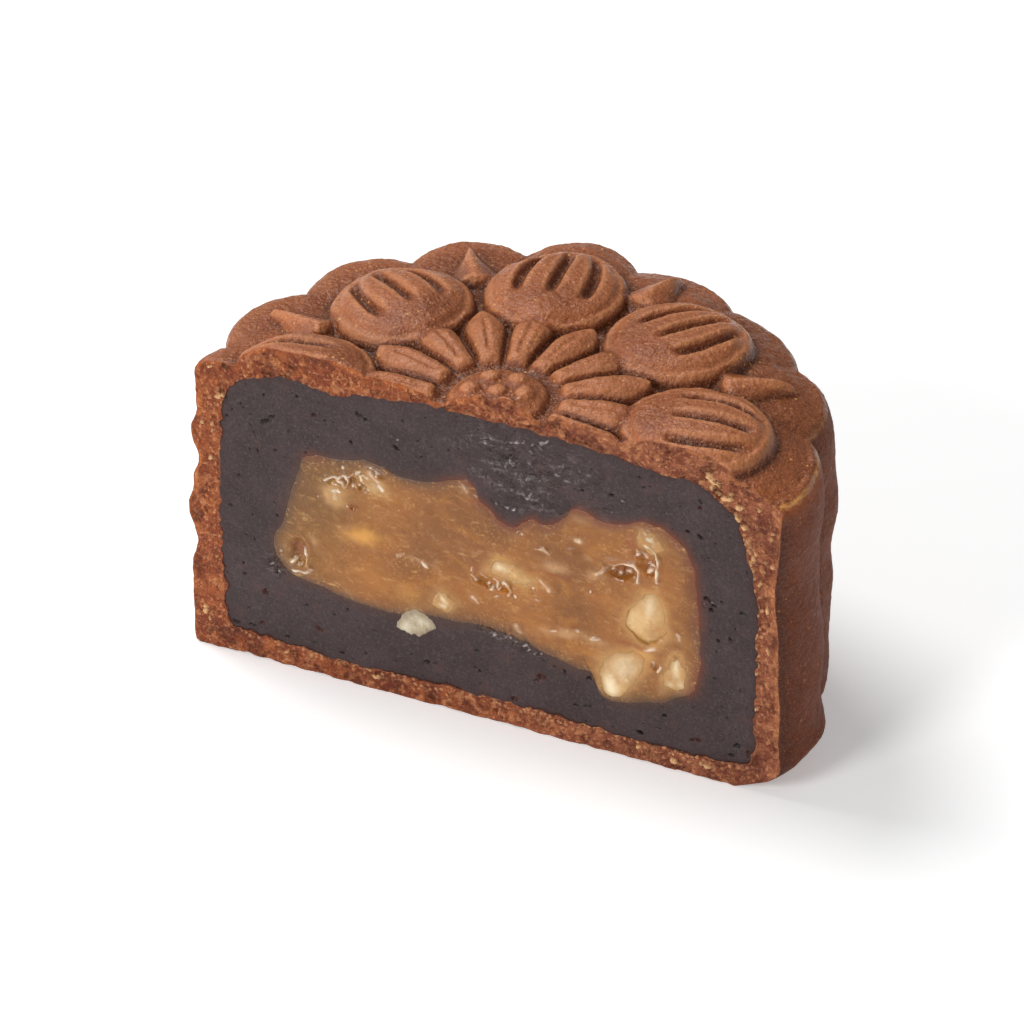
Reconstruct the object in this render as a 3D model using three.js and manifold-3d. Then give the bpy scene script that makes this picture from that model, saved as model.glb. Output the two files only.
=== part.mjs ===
// Half of a moulded mooncake, cut upright through its middle and standing on its flat base.
// Millimetres, +Z up. The cut face looks towards -Y and its long edge runs along X.
// The shapes are worked out about the axis of the whole cake, which stands on z = 0, and the
// finished group is then moved so that its origin is the middle of its underside.

import * as THREE from 'three';
import { mergeVertices } from 'three/addons/utils/BufferGeometryUtils.js';
import Module from 'manifold-3d';

const { clamp, degToRad, euclideanModulo, lerp, smoothstep } = THREE.MathUtils;

// The round of the whole cake
const CAKE_RADIUS = 25;
const DEPTH_SCALE = 0.981;
const LOBE_COUNT = 16;
const LOBE_STEP = (2 * Math.PI) / LOBE_COUNT;
const LOBE_DEPTH = 1.2;
const CUSP_ANGLE = degToRad(19.08);
const LOBE_MIDDLE = CUSP_ANGLE - LOBE_STEP / 2;
const CUT_Y = -1.44;

// The lobes are uneven: how far each swells past the even form, from the right end of the cut
// round the back to the left end, and how much of that its rim climbs
const LOBE_SWELL = [0.1, 0.1, -0.35, -0.05, 1.0, 0.65, 0.55, 0.3, 0.25];
const LOBE_SWELL_CLIMB = 0.35;

// The rim, and how far it climbs for each millimetre towards the back
const RIM_HEIGHT = 25.8;
const RIM_CLIMB = 0.062;

// The wall from the foot to the rim: height, then how far it stands out from the lobes
const WALL = [
  [0.0, 0.35],
  [3.0, 0.45],
  [6.5, 0.3],
  [9.5, 0.05],
  [12.2, 0.2],
  [17.0, -0.3],
  [21.5, 0.0],
  [24.4, -0.12],
  [25.8, -0.35],
];

// Soft swellings of the wall: angle, height, spread in angle, spread in height, amount
const WALL_SWELLINGS = [
  [-5, 9, 9, 4, 0.1],
  [12, 9.5, 7, 2.5, 0.3],
  [13, 2.2, 7, 1.6, 0.35],
  [28, 18, 10, 4.2, 1.1],
  [28, 9, 10, 4, 0.5],
  [75, 14, 12, 3, 0.4],
  [112, 7, 9, 3, 0.35],
  [150, 16, 10, 3, 0.4],
  [185, 20, 8, 1.6, 0.4],
  [185, 12.8, 8, 1.9, 0.55],
  [185, 4, 8, 3, 0.2],
];

// A faint ripple over the wall, in radians for each millimetre of height and radian of angle
const WALL_RIPPLE = { amount: 0.1, byHeight: 0.9, byAngle: 3 };

// The underside is flat, and lifts towards its edge, more on the right than on the left, and most
// under the first lobe. The lift is the wall's lowest level, and the underside slopes in from there
const FOOT_LIFT = 1.0;
const FOOT_LIFT_TO_RIGHT = 0.55;
const FOOT_LIFT_OF_LOBE = { angle: degToRad(6), spread: degToRad(6.5), amount: 0.95 };
const FOOT_LIFT_SLOPE = 2.4;
const FOOT_LIFT_SHARES = [1, 0.5, 0];

// The top between the petals: distance from the axis, then height over the rim
const GROUND = [
  [0.0, 2.2],
  [8.0, 2.2],
  [12.3, 1.6],
  [16.0, 1.4],
  [20.0, 1.3],
  [22.6, 0.9],
  [24.2, 0.4],
  [25.0, -0.1],
];
// The relief leans up to the right, and fades out towards the rim between these shares of the
// radius, where the rim starts to follow its lobes' swelling from another share on
const RELIEF_TILT = 0.022;
const RELIEF_FADE = { from: 0.84, to: 0.99 };
const SWELL_CLIMB_FROM = 0.7;
const EDGE_SOFTNESS = 0.45;

// Two slow waves over the top, in radians for each millimetre along X and Y
const TOP_WAVE = { amount: 0.16, alongX: 0.31, startX: 0.8, alongY: 0.27, startY: 0.4 };
const TOP_CROSS_WAVE = { amount: 0.08, alongX: 0.55, alongY: 0.48 };

// The seed pod at the middle of the flower, with a seed at its centre and a ring of them
const POD = {
  radius: 3.9,
  height: 0.95,
  fullness: 1.25,
  seedCount: 6,
  seedRing: 2.15,
  seedRadius: 0.8,
  seedHeight: 0.4,
};

// Sixteen narrow petals around the pod, lower at the root
const NARROW_PETAL = {
  from: 4.5,
  rootRise: 0.8,
  rootShare: 0.6,
  shoulder: 9.5,
  to: 11.7,
  fill: 0.9,
  height: 1.15,
};

// Eight broad petals with three veins, each in line with every second lobe
const BROAD_PETAL = { middle: 15.5, halfLength: 5.9, halfWidth: 5.6, height: 2.2, roundness: 0.4 };
const VEIN = { depth: 0.75, halfWidth: 0.55, from: 13.2, to: 20.6, fade: 2, spread: 0.5 };

// Eight pointed leaf tips between the broad petals
const LEAF_TIP = { from: 16.5, rise: 1, to: 22.8, halfWidth: 2.9, height: 1.1, ridge: 0.7 };

// Fillings at the cut: distance from the axis and height, from the bottom to the top
const PASTE_RIGHT = [
  [0, 2.1],
  [5, 2.05],
  [9.5, 1.9],
  [14, 1.8],
  [18, 1.9],
  [20.5, 2.1],
  [21.8, 2.9],
  [22.1, 5],
  [22.1, 10],
  [22.1, 15.5],
  [21.7, 18.7],
  [21.2, 20.7],
  [20.7, 22.5],
  [20.1, 24.0],
  [18.9, 25.1],
  [17.2, 26.0],
  [15.5, 26.4],
  [12.8, 26.5],
  [10, 26.7],
  [8, 26.95],
  [5, 27.2],
  [0, 27.25],
];
const PASTE_LEFT = [
  [0, 2.1],
  [5.5, 1.95],
  [11, 1.9],
  [16.5, 2.0],
  [21.3, 2.2],
  [22.4, 3.0],
  [22.7, 5],
  [22.9, 10],
  [22.9, 14],
  [22.8, 18],
  [22.5, 21.4],
  [21.9, 23.2],
  [21.1, 24.5],
  [20.0, 25.5],
  [18.4, 26.15],
  [16.6, 26.45],
  [15.0, 26.3],
  [13.6, 25.95],
  [12.5, 25.9],
  [11.2, 26.4],
  [10, 26.75],
  [8.2, 27.0],
  [5, 27.2],
  [0, 27.25],
];
const CORE_RIGHT = [
  [0, 8.5],
  [2, 8.4],
  [4.5, 7.7],
  [7, 7.1],
  [8.8, 6.9],
  [9.7, 6.3],
  [10.3, 5.6],
  [11.6, 5.3],
  [14.0, 5.4],
  [15.6, 6.3],
  [16.9, 7.4],
  [17.4, 9.5],
  [17.5, 12.5],
  [17.2, 16],
  [16.7, 19],
  [15.8, 20.5],
  [14.4, 21.4],
  [12.6, 21.7],
  [11, 21.0],
  [9.4, 20.9],
  [8, 21.3],
  [7, 21.2],
  [6.4, 20.3],
  [5.5, 19.6],
  [4.5, 19.2],
  [3.6, 19.4],
  [2.9, 18.9],
  [1.9, 18.2],
  [0.9, 18.6],
  [0, 19.3],
];
const CORE_LEFT = [
  [0, 8.5],
  [4.4, 8.3],
  [6.5, 7.9],
  [9, 7.6],
  [11, 7.7],
  [13.5, 8.1],
  [16.5, 8.6],
  [17.5, 9.2],
  [18.2, 10.4],
  [18.2, 12.0],
  [17.5, 13.5],
  [16.6, 16.8],
  [15.8, 19.2],
  [15.0, 20.0],
  [13, 20.3],
  [11, 20.7],
  [9.3, 20.6],
  [7, 20.1],
  [5.2, 20.3],
  [3.2, 21.1],
  [2.0, 21.4],
  [1.3, 20.8],
  [0.7, 19.9],
  [0, 19.3],
];
const PASTE_REACH = 1.035;
const CORE_REACH = 0.93;

// Pieces of nut: outline on the cut face as [x, z], depth behind it, and how far they stand out
const NUTS = [
  {
    name: 'nut_1',
    outline: [[9.1, 6.9], [9.6, 8.4], [11.2, 10.0], [13.7, 9.5], [12.6, 7.4], [10.9, 4.9], [9.6, 5.0]],
    depth: 3.4,
    stand: 0.35,
  },
  {
    name: 'nut_2',
    outline: [[11.3, 12.4], [12.3, 14.9], [13.6, 15.8], [14.6, 14.6], [14.9, 12.2], [13.6, 10.5],
      [11.9, 11.2]],
    depth: 2.8,
    stand: 0.3,
  },
  {
    name: 'nut_3',
    outline: [[14.8, 7.4], [14.8, 9.4], [15.5, 10.6], [16.2, 9.4], [16.2, 7.8]],
    depth: 2.2,
    stand: 0.15,
  },
  {
    name: 'nut_4',
    outline: [[-7.9, 6.4], [-7.2, 7.7], [-6.3, 8.5], [-4.8, 8.1], [-4.4, 7.2], [-5.8, 6.2], [-6.8, 5.4]],
    depth: 2.2,
    stand: 0.3,
  },
  {
    name: 'nut_5',
    outline: [[-4.6, 9.7], [-4.0, 10.6], [-2.9, 10.1], [-3.5, 9.2]],
    depth: 1.4,
    stand: 0.1,
  },
  {
    name: 'nut_6',
    outline: [[-0.1, 13.9], [0.6, 15.0], [2.0, 15.0], [3.8, 13.9], [3.0, 13.2], [1.2, 13.3]],
    depth: 1.8,
    stand: 0.15,
  },
  {
    name: 'nut_7',
    outline: [[12.3, 20.0], [12.7, 20.9], [13.6, 20.7], [14.2, 19.7], [13.4, 19.1]],
    depth: 1.6,
    stand: 0,
  },
  {
    name: 'nut_8',
    outline: [[-10.8, 19.2], [-9.9, 19.8], [-8.9, 19.3], [-8.7, 18.3], [-9.9, 18.2]],
    depth: 1.8,
    stand: 0,
  },
  {
    name: 'nut_9',
    outline: [[-13.8, 17.1], [-13.1, 18.0], [-12.2, 17.4], [-12.5, 16.3], [-13.5, 16.3]],
    depth: 1.5,
    stand: 0,
  },
];

// Neighbouring pieces stay this far apart
const GAP = 0.3;

// How finely the surfaces are divided
const TOP_RINGS = [1.3, 2.6, 3.4, 4.0, 4.6, 5.6, 6.8, 8.0, 9.2, 10.2, 11.0, 11.7, 12.4, 13.4, 14.8,
  16.2, 17.6, 18.9, 20.0, 21.0, 21.9, 22.9, 24.0, 24.6, 25];
const WALL_LEVELS = [24.9, 23.4, 21.5, 19.2, 17.0, 14.6, 12.2, 9.5, 6.5, 4.4, 3.0];
const TOP_STEPS_PER_LOBE = 10;
const TOP_STEPS_PER_RADIUS = 0.7;
const WALL_STEPS_PER_LOBE = 8;
const SOFTENING_SAMPLES = 8;
const OUTLINE_STEPS = 36;
const SWEEP_STEPS = 32;

// A smooth curve through [x, y] points, as a function of x
function curveThrough(points) {
  const slopes = points.map((point, i) => {
    const before = points[Math.max(i - 1, 0)];
    const after = points[Math.min(i + 1, points.length - 1)];
    return (after[1] - before[1]) / (after[0] - before[0]);
  });
  return (x) => {
    const at = clamp(x, points[0][0], points.at(-1)[0]);
    const next = Math.max(points.findIndex((point) => point[0] >= at), 1);
    const [x0, y0] = points[next - 1];
    const [x1, y1] = points[next];
    const span = x1 - x0;
    const t = (at - x0) / span;
    const bend = y0 * (1 + 2 * t) * (1 - t) ** 2 + y1 * t * t * (3 - 2 * t);
    return bend + span * t * (1 - t) * (slopes[next - 1] * (1 - t) - slopes[next] * t);
  };
}

const wallOutset = curveThrough(WALL);
const groundRise = curveThrough(GROUND);

// Each lobe is a round arc between two cusps
const CUSP_RADIUS = CAKE_RADIUS - LOBE_DEPTH;
const HALF_CHORD = CUSP_RADIUS * Math.sin(LOBE_STEP / 2);
const ARC_HEIGHT = CAKE_RADIUS - CUSP_RADIUS * Math.cos(LOBE_STEP / 2);
const ARC_RADIUS = (HALF_CHORD ** 2 + ARC_HEIGHT ** 2) / (2 * ARC_HEIGHT);
const ARC_CENTRE = CAKE_RADIUS - ARC_RADIUS;

// Angle from the nearest of a ring of evenly spaced directions
function angleFromNearest(angle, first, step) {
  return angle - first - step * Math.round((angle - first) / step);
}

// How far a lobe swells past the even form at an angle: most at its middle, nothing at its cusps
function lobeSwell(angle) {
  const lobe = euclideanModulo(Math.round((angle - LOBE_MIDDLE) / LOBE_STEP), LOBE_COUNT);
  const share = angleFromNearest(angle, LOBE_MIDDLE, LOBE_STEP) / (LOBE_STEP / 2);
  return (LOBE_SWELL[lobe] ?? 0) * (1 - share * share);
}

function lobeRadius(angle) {
  const offset = angleFromNearest(angle, LOBE_MIDDLE, LOBE_STEP);
  const across = ARC_CENTRE * Math.sin(offset);
  return ARC_CENTRE * Math.cos(offset) + Math.sqrt(ARC_RADIUS ** 2 - across ** 2) + lobeSwell(angle);
}

// Hand-made unevenness of the wall and of the top
function wallWobble(angle, height) {
  let wobble = WALL_RIPPLE.amount * Math.sin(WALL_RIPPLE.byHeight * height - WALL_RIPPLE.byAngle * angle);
  for (const [middle, level, angleSpread, levelSpread, amount] of WALL_SWELLINGS) {
    const turn = angleFromNearest(angle, degToRad(middle), 2 * Math.PI) / degToRad(angleSpread);
    const climb = (height - level) / levelSpread;
    wobble += amount * Math.exp(-turn * turn - climb * climb);
  }
  return wobble;
}

function topWobble(x, y) {
  const waveX = Math.sin(TOP_WAVE.alongX * x + TOP_WAVE.startX);
  const waveY = Math.cos(TOP_WAVE.alongY * y + TOP_WAVE.startY);
  const crossWave = Math.sin(TOP_CROSS_WAVE.alongX * x - TOP_CROSS_WAVE.alongY * y);
  return TOP_WAVE.amount * waveX * waveY + TOP_CROSS_WAVE.amount * crossWave;
}

function rimHeight(y) {
  return RIM_HEIGHT + RIM_CLIMB * y;
}

function wallRadius(angle, level) {
  return lobeRadius(angle) + wallOutset(level) + wallWobble(angle, level);
}

// A round-backed swelling: 1 at the middle, 0 at the edge and beyond
function swelling(share) {
  return Math.sqrt(Math.max(1 - share * share, 0));
}

function podRelief(radius, angle) {
  const disc = POD.height * Math.min(1, POD.fullness * swelling(radius / POD.radius));
  const toRing = angleFromNearest(angle, LOBE_MIDDLE, (2 * Math.PI) / POD.seedCount);
  const ringSeed = Math.hypot(radius * Math.cos(toRing) - POD.seedRing, radius * Math.sin(toRing));
  const seed = Math.min(radius, ringSeed) / POD.seedRadius;
  return disc + POD.seedHeight * swelling(seed);
}

function narrowPetalRelief(radius, angle) {
  const offset = angleFromNearest(angle, LOBE_MIDDLE, LOBE_STEP);
  const along = radius * Math.cos(offset);
  const { from, rootRise, rootShare, shoulder, to, fill, height } = NARROW_PETAL;
  const widest = Math.min(along, shoulder) * Math.tan(LOBE_STEP / 2) * fill;
  const halfWidth = widest * swelling(Math.max(along - shoulder, 0) / (to - shoulder));
  if (along < from || halfWidth <= 0) {
    return 0;
  }
  const climb = lerp(rootShare, 1, smoothstep(along, from, shoulder));
  const start = smoothstep(along, from, from + rootRise);
  return height * climb * start * swelling((radius * Math.sin(offset)) / halfWidth);
}

function broadPetalRelief(radius, angle) {
  const offset = angleFromNearest(angle, LOBE_MIDDLE, 2 * LOBE_STEP);
  const along = radius * Math.cos(offset);
  const across = radius * Math.sin(offset);
  const { middle, halfLength, halfWidth, height, roundness } = BROAD_PETAL;
  const lengthShare = (along - middle) / halfLength;
  const inside = 1 - lengthShare ** 2 - (across / halfWidth) ** 2;
  if (inside <= 0) {
    return 0;
  }
  const widthHere = halfWidth * swelling(lengthShare);
  const veinGap = VEIN.spread * widthHere;
  const nearest = clamp(Math.round(across / veinGap), -1, 1) * veinGap;
  const groove = swelling((across - nearest) / VEIN.halfWidth) ** 2;
  const start = smoothstep(along, VEIN.from, VEIN.from + VEIN.fade);
  const end = 1 - smoothstep(along, VEIN.to - VEIN.fade, VEIN.to);
  return height * inside ** roundness - VEIN.depth * groove * start * end;
}

function leafTipRelief(radius, angle) {
  const offset = angleFromNearest(angle, LOBE_MIDDLE + LOBE_STEP, 2 * LOBE_STEP);
  const along = radius * Math.cos(offset);
  const { from, rise, to, halfWidth, height, ridge } = LEAF_TIP;
  const width = (halfWidth * (to - along)) / (to - from);
  if (along < from || width <= 0) {
    return 0;
  }
  const share = Math.min(Math.abs(radius * Math.sin(offset)) / width, 1);
  return height * (1 - share) ** ridge * smoothstep(along, from, from + rise);
}

// Height of the moulded top at a point, inside the rim
function topHeight(x, y) {
  const radius = Math.hypot(x, y / DEPTH_SCALE);
  const angle = Math.atan2(y / DEPTH_SCALE, x);
  const share = radius / wallRadius(angle, RIM_HEIGHT);
  const inner = 1 - smoothstep(share, RELIEF_FADE.from, RELIEF_FADE.to);
  const climb = LOBE_SWELL_CLIMB * lobeSwell(angle) * smoothstep(share, SWELL_CLIMB_FROM, 1);
  const relief = Math.max(
    podRelief(radius, angle),
    narrowPetalRelief(radius, angle),
    broadPetalRelief(radius, angle),
    leafTipRelief(radius, angle),
  );
  const ground = rimHeight(y) + climb + groundRise(share * CAKE_RADIUS);
  return ground + relief * Math.sqrt(inner) + (RELIEF_TILT * x + topWobble(x, y)) * inner;
}

// The moulding has soft edges, so its height is a mean over a small round spot
function softTopHeight(x, y) {
  let sum = topHeight(x, y);
  for (let i = 0; i < SOFTENING_SAMPLES; i += 1) {
    const turn = (2 * Math.PI * i) / SOFTENING_SAMPLES;
    sum += topHeight(x + EDGE_SOFTNESS * Math.cos(turn), y + EDGE_SOFTNESS * Math.sin(turn));
  }
  return sum / (SOFTENING_SAMPLES + 1);
}

// A point at an angle and a radius about the axis, where the round is a little flattened in depth
function roundPoint(angle, radius, z) {
  return new THREE.Vector3(radius * Math.cos(angle), DEPTH_SCALE * radius * Math.sin(angle), z);
}

// Height of the underside's edge
function footLift(angle) {
  const { angle: middle, spread, amount } = FOOT_LIFT_OF_LOBE;
  const turn = angleFromNearest(angle, middle, 2 * Math.PI) / spread;
  return FOOT_LIFT + FOOT_LIFT_TO_RIGHT * Math.cos(angle) + amount * Math.exp(-turn * turn);
}

// Rings of points from the middle of the top, over the rim, down the wall and under the base
function crustRings() {
  const rings = [];
  const addRing = (steps, pointAt) => {
    const ring = [];
    for (let i = 0; i < steps; i += 1) {
      ring.push(pointAt(CUSP_ANGLE + (2 * Math.PI * i) / steps));
    }
    rings.push(ring);
  };
  for (const ringRadius of TOP_RINGS) {
    const perLobe = clamp(Math.round(ringRadius * TOP_STEPS_PER_RADIUS), 1, TOP_STEPS_PER_LOBE);
    addRing(LOBE_COUNT * perLobe, (angle) => {
      const rim = wallRadius(angle, RIM_HEIGHT);
      const point = roundPoint(angle, (rim * ringRadius) / CAKE_RADIUS, 0);
      point.z = softTopHeight(point.x, point.y);
      return point;
    });
  }
  for (const level of WALL_LEVELS) {
    addRing(LOBE_COUNT * WALL_STEPS_PER_LOBE, (angle) => {
      const point = roundPoint(angle, wallRadius(angle, level), 0);
      point.z = (level * (rimHeight(point.y) + LOBE_SWELL_CLIMB * lobeSwell(angle))) / RIM_HEIGHT;
      return point;
    });
  }
  for (const share of FOOT_LIFT_SHARES) {
    addRing(LOBE_COUNT * WALL_STEPS_PER_LOBE, (angle) => {
      const lift = footLift(angle);
      const inset = FOOT_LIFT_SLOPE * lift * (1 - share);
      return roundPoint(angle, wallRadius(angle, lift) - inset, lift * share);
    });
  }
  return rings;
}

// Triangles between two rings that may have different numbers of points
function bridgeRings(upper, lower, triangles) {
  let i = 0;
  let j = 0;
  while (i < upper.length || j < lower.length) {
    const a = upper[i % upper.length];
    const b = lower[j % lower.length];
    if (j >= lower.length || (i < upper.length && (i + 1) / upper.length < (j + 1) / lower.length)) {
      i += 1;
      triangles.push(a, b, upper[i % upper.length]);
    } else {
      j += 1;
      triangles.push(a, b, lower[j % lower.length]);
    }
  }
}

// A closed skin over a stack of rings, with a point in the middle of each end
function skinOverRings(rings, topPoint, bottomPoint) {
  const triangles = [];
  bridgeRings([topPoint], rings[0], triangles);
  for (let i = 1; i < rings.length; i += 1) {
    bridgeRings(rings[i - 1], rings[i], triangles);
  }
  bridgeRings(rings.at(-1), [bottomPoint], triangles);
  return new THREE.BufferGeometry().setFromPoints(triangles);
}

function crustOuterGeometry() {
  const top = new THREE.Vector3(0, 0, softTopHeight(0, 0));
  return skinOverRings(crustRings(), top, new THREE.Vector3(0, 0, 0));
}

// Evenly spaced points of a half outline, moved outwards by a margin, from the bottom to the top
function halfOutline(points, margin) {
  const curve = new THREE.CatmullRomCurve3(points.map(([radius, z]) => new THREE.Vector3(radius, 0, z)));
  return curve.getSpacedPoints(OUTLINE_STEPS).map((point, i) => {
    const tangent = curve.getTangentAt(i / OUTLINE_STEPS);
    const atAxis = i === 0 || i === OUTLINE_STEPS;
    const radius = atAxis ? 0 : point.x + margin * tangent.z;
    const z = atAxis ? point.z + margin * Math.sign(i - 1) : point.z - margin * tangent.x;
    return { radius, z };
  });
}

// A filling turns about an axis on the cut face, from its right outline to its left one
function fillingGeometry(right, left, reach, margin) {
  const rightHalf = halfOutline(right, margin);
  const leftHalf = halfOutline(left, margin);
  const pointAt = (i, turn) => {
    const blend = (1 - Math.cos(turn)) / 2;
    const radius = lerp(rightHalf[i].radius, leftHalf[i].radius, blend);
    const y = CUT_Y + reach * radius * Math.sin(turn);
    const level = lerp(rightHalf[i].z, leftHalf[i].z, blend);
    return new THREE.Vector3(radius * Math.cos(turn), y, (level * rimHeight(y)) / rimHeight(CUT_Y));
  };
  const rings = [];
  for (let i = OUTLINE_STEPS - 1; i > 0; i -= 1) {
    const ring = [];
    for (let j = 0; j < SWEEP_STEPS; j += 1) {
      ring.push(pointAt(i, (2 * Math.PI * j) / SWEEP_STEPS));
    }
    rings.push(ring);
  }
  return skinOverRings(rings, pointAt(OUTLINE_STEPS, 0), pointAt(0, 0));
}

// A chopped piece of nut: its outline on the cut face, narrowing to a blunt back and front
const NUT_STAGES = [
  { depth: 0.85, width: 0.6 },
  { depth: 0.45, width: 0.92 },
  { depth: 0, width: 1 },
  { depth: -0.5, width: 0.86 },
  { depth: -1, width: 0.55 },
];

function nutGeometry({ outline, depth, stand }, margin) {
  const middle = new THREE.Vector2();
  outline.forEach(([x, z]) => middle.add(new THREE.Vector2(x, z)));
  middle.divideScalar(outline.length);
  const rings = NUT_STAGES.map((stage) => outline.map(([x, z]) => {
    const arm = new THREE.Vector2(x, z).sub(middle);
    arm.setLength((arm.length() + margin) * stage.width);
    const reach = stage.depth < 0 ? stand + margin : depth + margin;
    return new THREE.Vector3(middle.x + arm.x, CUT_Y + stage.depth * reach, middle.y + arm.y);
  }));
  const front = new THREE.Vector3(middle.x, CUT_Y - stand - margin, middle.y);
  const back = new THREE.Vector3(middle.x, CUT_Y + depth + margin, middle.y);
  return skinOverRings(rings, back, front);
}

const MERGE_DISTANCE = 1e-5;
const manifold = await Module();
manifold.setup();

// A closed mesh as a solid that can be cut and joined
function solidOf(geometry) {
  const bare = geometry.clone();
  bare.deleteAttribute('normal');
  bare.deleteAttribute('uv');
  const merged = mergeVertices(bare, MERGE_DISTANCE);
  return new manifold.Manifold(new manifold.Mesh({
    numProp: 3,
    vertProperties: new Float32Array(merged.attributes.position.array),
    triVerts: new Uint32Array(merged.index.array),
  }));
}

function geometryOf(solid) {
  const { vertProperties, triVerts } = solid.getMesh();
  const geometry = new THREE.BufferGeometry();
  geometry.setAttribute('position', new THREE.BufferAttribute(vertProperties, 3));
  geometry.setIndex(new THREE.BufferAttribute(triVerts, 1));
  geometry.computeVertexNormals();
  return geometry;
}

// Everything behind the knife
function spaceBehindCut() {
  const size = 4 * CAKE_RADIUS;
  const box = new THREE.BoxGeometry(size, size, size);
  box.translate(0, CUT_Y + size / 2, 0);
  return solidOf(box);
}

const behindCut = spaceBehindCut();
const nutPockets = NUTS.map((nut) => solidOf(nutGeometry(nut, GAP)));

function pasteSolid(margin) {
  return solidOf(fillingGeometry(PASTE_RIGHT, PASTE_LEFT, PASTE_REACH, margin));
}

function coreSolid(margin) {
  return solidOf(fillingGeometry(CORE_RIGHT, CORE_LEFT, CORE_REACH, margin));
}

function withoutNuts(solid) {
  return nutPockets.reduce((left, pocket) => left.subtract(pocket), solid);
}

const crust = solidOf(crustOuterGeometry()).intersect(behindCut).subtract(pasteSolid(GAP / 2));
const paste = withoutNuts(pasteSolid(-GAP / 2).intersect(behindCut).subtract(coreSolid(GAP / 2)));
const core = withoutNuts(coreSolid(-GAP / 2).intersect(behindCut));

const MATERIALS = {
  crust: new THREE.MeshStandardMaterial({ color: 0x935a40, roughness: 0.62, metalness: 0 }),
  paste: new THREE.MeshStandardMaterial({ color: 0x3f3232, roughness: 0.5, metalness: 0 }),
  core: new THREE.MeshStandardMaterial({ color: 0xa6764a, roughness: 0.25, metalness: 0 }),
  nut: new THREE.MeshStandardMaterial({ color: 0xd6b888, roughness: 0.5, metalness: 0 }),
};

const halfMooncake = new THREE.Group();

function addPiece(name, geometry, material) {
  const mesh = new THREE.Mesh(geometry, material);
  mesh.name = name;
  halfMooncake.add(mesh);
}

addPiece('crust', geometryOf(crust), MATERIALS.crust);
addPiece('paste', geometryOf(paste), MATERIALS.paste);
addPiece('core', geometryOf(core), MATERIALS.core);
for (const nut of NUTS) {
  addPiece(nut.name, geometryOf(solidOf(nutGeometry(nut, 0))), MATERIALS.nut);
}

// The origin goes to the middle of the underside
const bounds = new THREE.Box3().setFromObject(halfMooncake);
const middle = bounds.getCenter(new THREE.Vector3());
halfMooncake.position.set(-middle.x, -middle.y, -bounds.min.z);

export default halfMooncake;
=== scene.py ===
"""Half of a moulded mooncake, cut upright, with its lobed crust, bean paste, gel core and nut pieces.

Shapes are worked out in millimetres about the axis of the whole cake, which stands on z = 0, with the
cut face at y = CUT_Y looking towards -Y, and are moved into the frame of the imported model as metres.
"""

import itertools
import math

import bpy
import numpy as np
from mathutils import Matrix, Vector


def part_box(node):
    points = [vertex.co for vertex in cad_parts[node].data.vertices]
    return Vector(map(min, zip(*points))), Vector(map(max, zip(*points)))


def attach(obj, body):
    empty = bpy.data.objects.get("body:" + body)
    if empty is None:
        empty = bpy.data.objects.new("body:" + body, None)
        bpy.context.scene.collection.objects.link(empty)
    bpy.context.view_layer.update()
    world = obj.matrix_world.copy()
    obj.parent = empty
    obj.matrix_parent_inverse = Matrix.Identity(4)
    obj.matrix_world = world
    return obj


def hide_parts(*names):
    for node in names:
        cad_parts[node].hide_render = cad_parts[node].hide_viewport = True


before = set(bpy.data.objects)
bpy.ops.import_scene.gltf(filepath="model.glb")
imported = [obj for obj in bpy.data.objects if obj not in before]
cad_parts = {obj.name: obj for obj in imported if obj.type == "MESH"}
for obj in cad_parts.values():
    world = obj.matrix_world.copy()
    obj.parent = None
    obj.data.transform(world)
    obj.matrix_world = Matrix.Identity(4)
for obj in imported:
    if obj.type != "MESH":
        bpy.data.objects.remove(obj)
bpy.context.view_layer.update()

# Driving sizes of the solids, in millimetres
CAKE_RADIUS = 25.0
DEPTH_SCALE = 0.981
LOBE_COUNT = 16
LOBE_STEP = 2 * math.pi / LOBE_COUNT
LOBE_DEPTH = 1.2
LOBE_MIDDLE = math.radians(19.08) - LOBE_STEP / 2
CUT_Y = -1.44
LOBE_SWELL = np.array([0.1, 0.1, -0.35, -0.05, 1.0, 0.65, 0.55, 0.3, 0.25] + [0.0] * 7)
LOBE_SWELL_CLIMB = 0.35
SWELL_CLIMB_FROM = 0.7
RIM_HEIGHT = 25.8
RIM_REACH = 24.5
RIM_CLIMB = 0.062
FILLET = 0.4
# How far the wall stands out at each level, and its swellings: turn, level, their spreads, amount
WALL = [
    (0, 0.35), (3, 0.45), (6.5, 0.3), (9.5, 0.05), (12.2, 0.2), (17, -0.3), (21.5, 0), (24.4, -0.12),
    (25.8, -0.35),
]
WALL_SWELLINGS = [
    (-5, 9, 9, 4, 0.1), (12, 9.5, 7, 2.5, 0.3), (13, 2.2, 7, 1.6, 0.35), (28, 18, 10, 4.2, 1.1),
    (28, 9, 10, 4, 0.5), (75, 14, 12, 3, 0.4), (112, 7, 9, 3, 0.35), (150, 16, 10, 3, 0.4),
    (185, 19.7, 8, 1.4, 0.4), (185, 12.8, 8, 1.9, 0.55), (185, 4, 8, 3, 0.2), (185, 21.4, 8, 0.9, -0.3),
    (185, 18.4, 8, 0.7, 0.12), (185, 15.7, 8, 1, 0.5), (185, 7.8, 8, 1.4, 0.36), (185, 1.2, 8, 1.2, 0.25),
    (42, 24, 20, 3, 0.35), (-3, 25.7, 9, 1.6, 0.42), (-3, 22, 9, 2, -0.12),
]
FOOT_LIFT = 1.0
FOOT_LIFT_TO_RIGHT = 0.55
FOOT_LIFT_OF_LOBE = (math.radians(6), math.radians(6.5), 0.6)
FOOT_LIFT_SLOPE = 2.4
GROUND = [(0, 2.2), (8, 2.2), (12.3, 1.6), (16, 1.4), (20, 1.3), (22.6, 0.9), (24.2, 0.4), (25, -0.1)]
RELIEF_TILT = 0.022
RELIEF_FADE = (0.84, 0.99)
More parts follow.
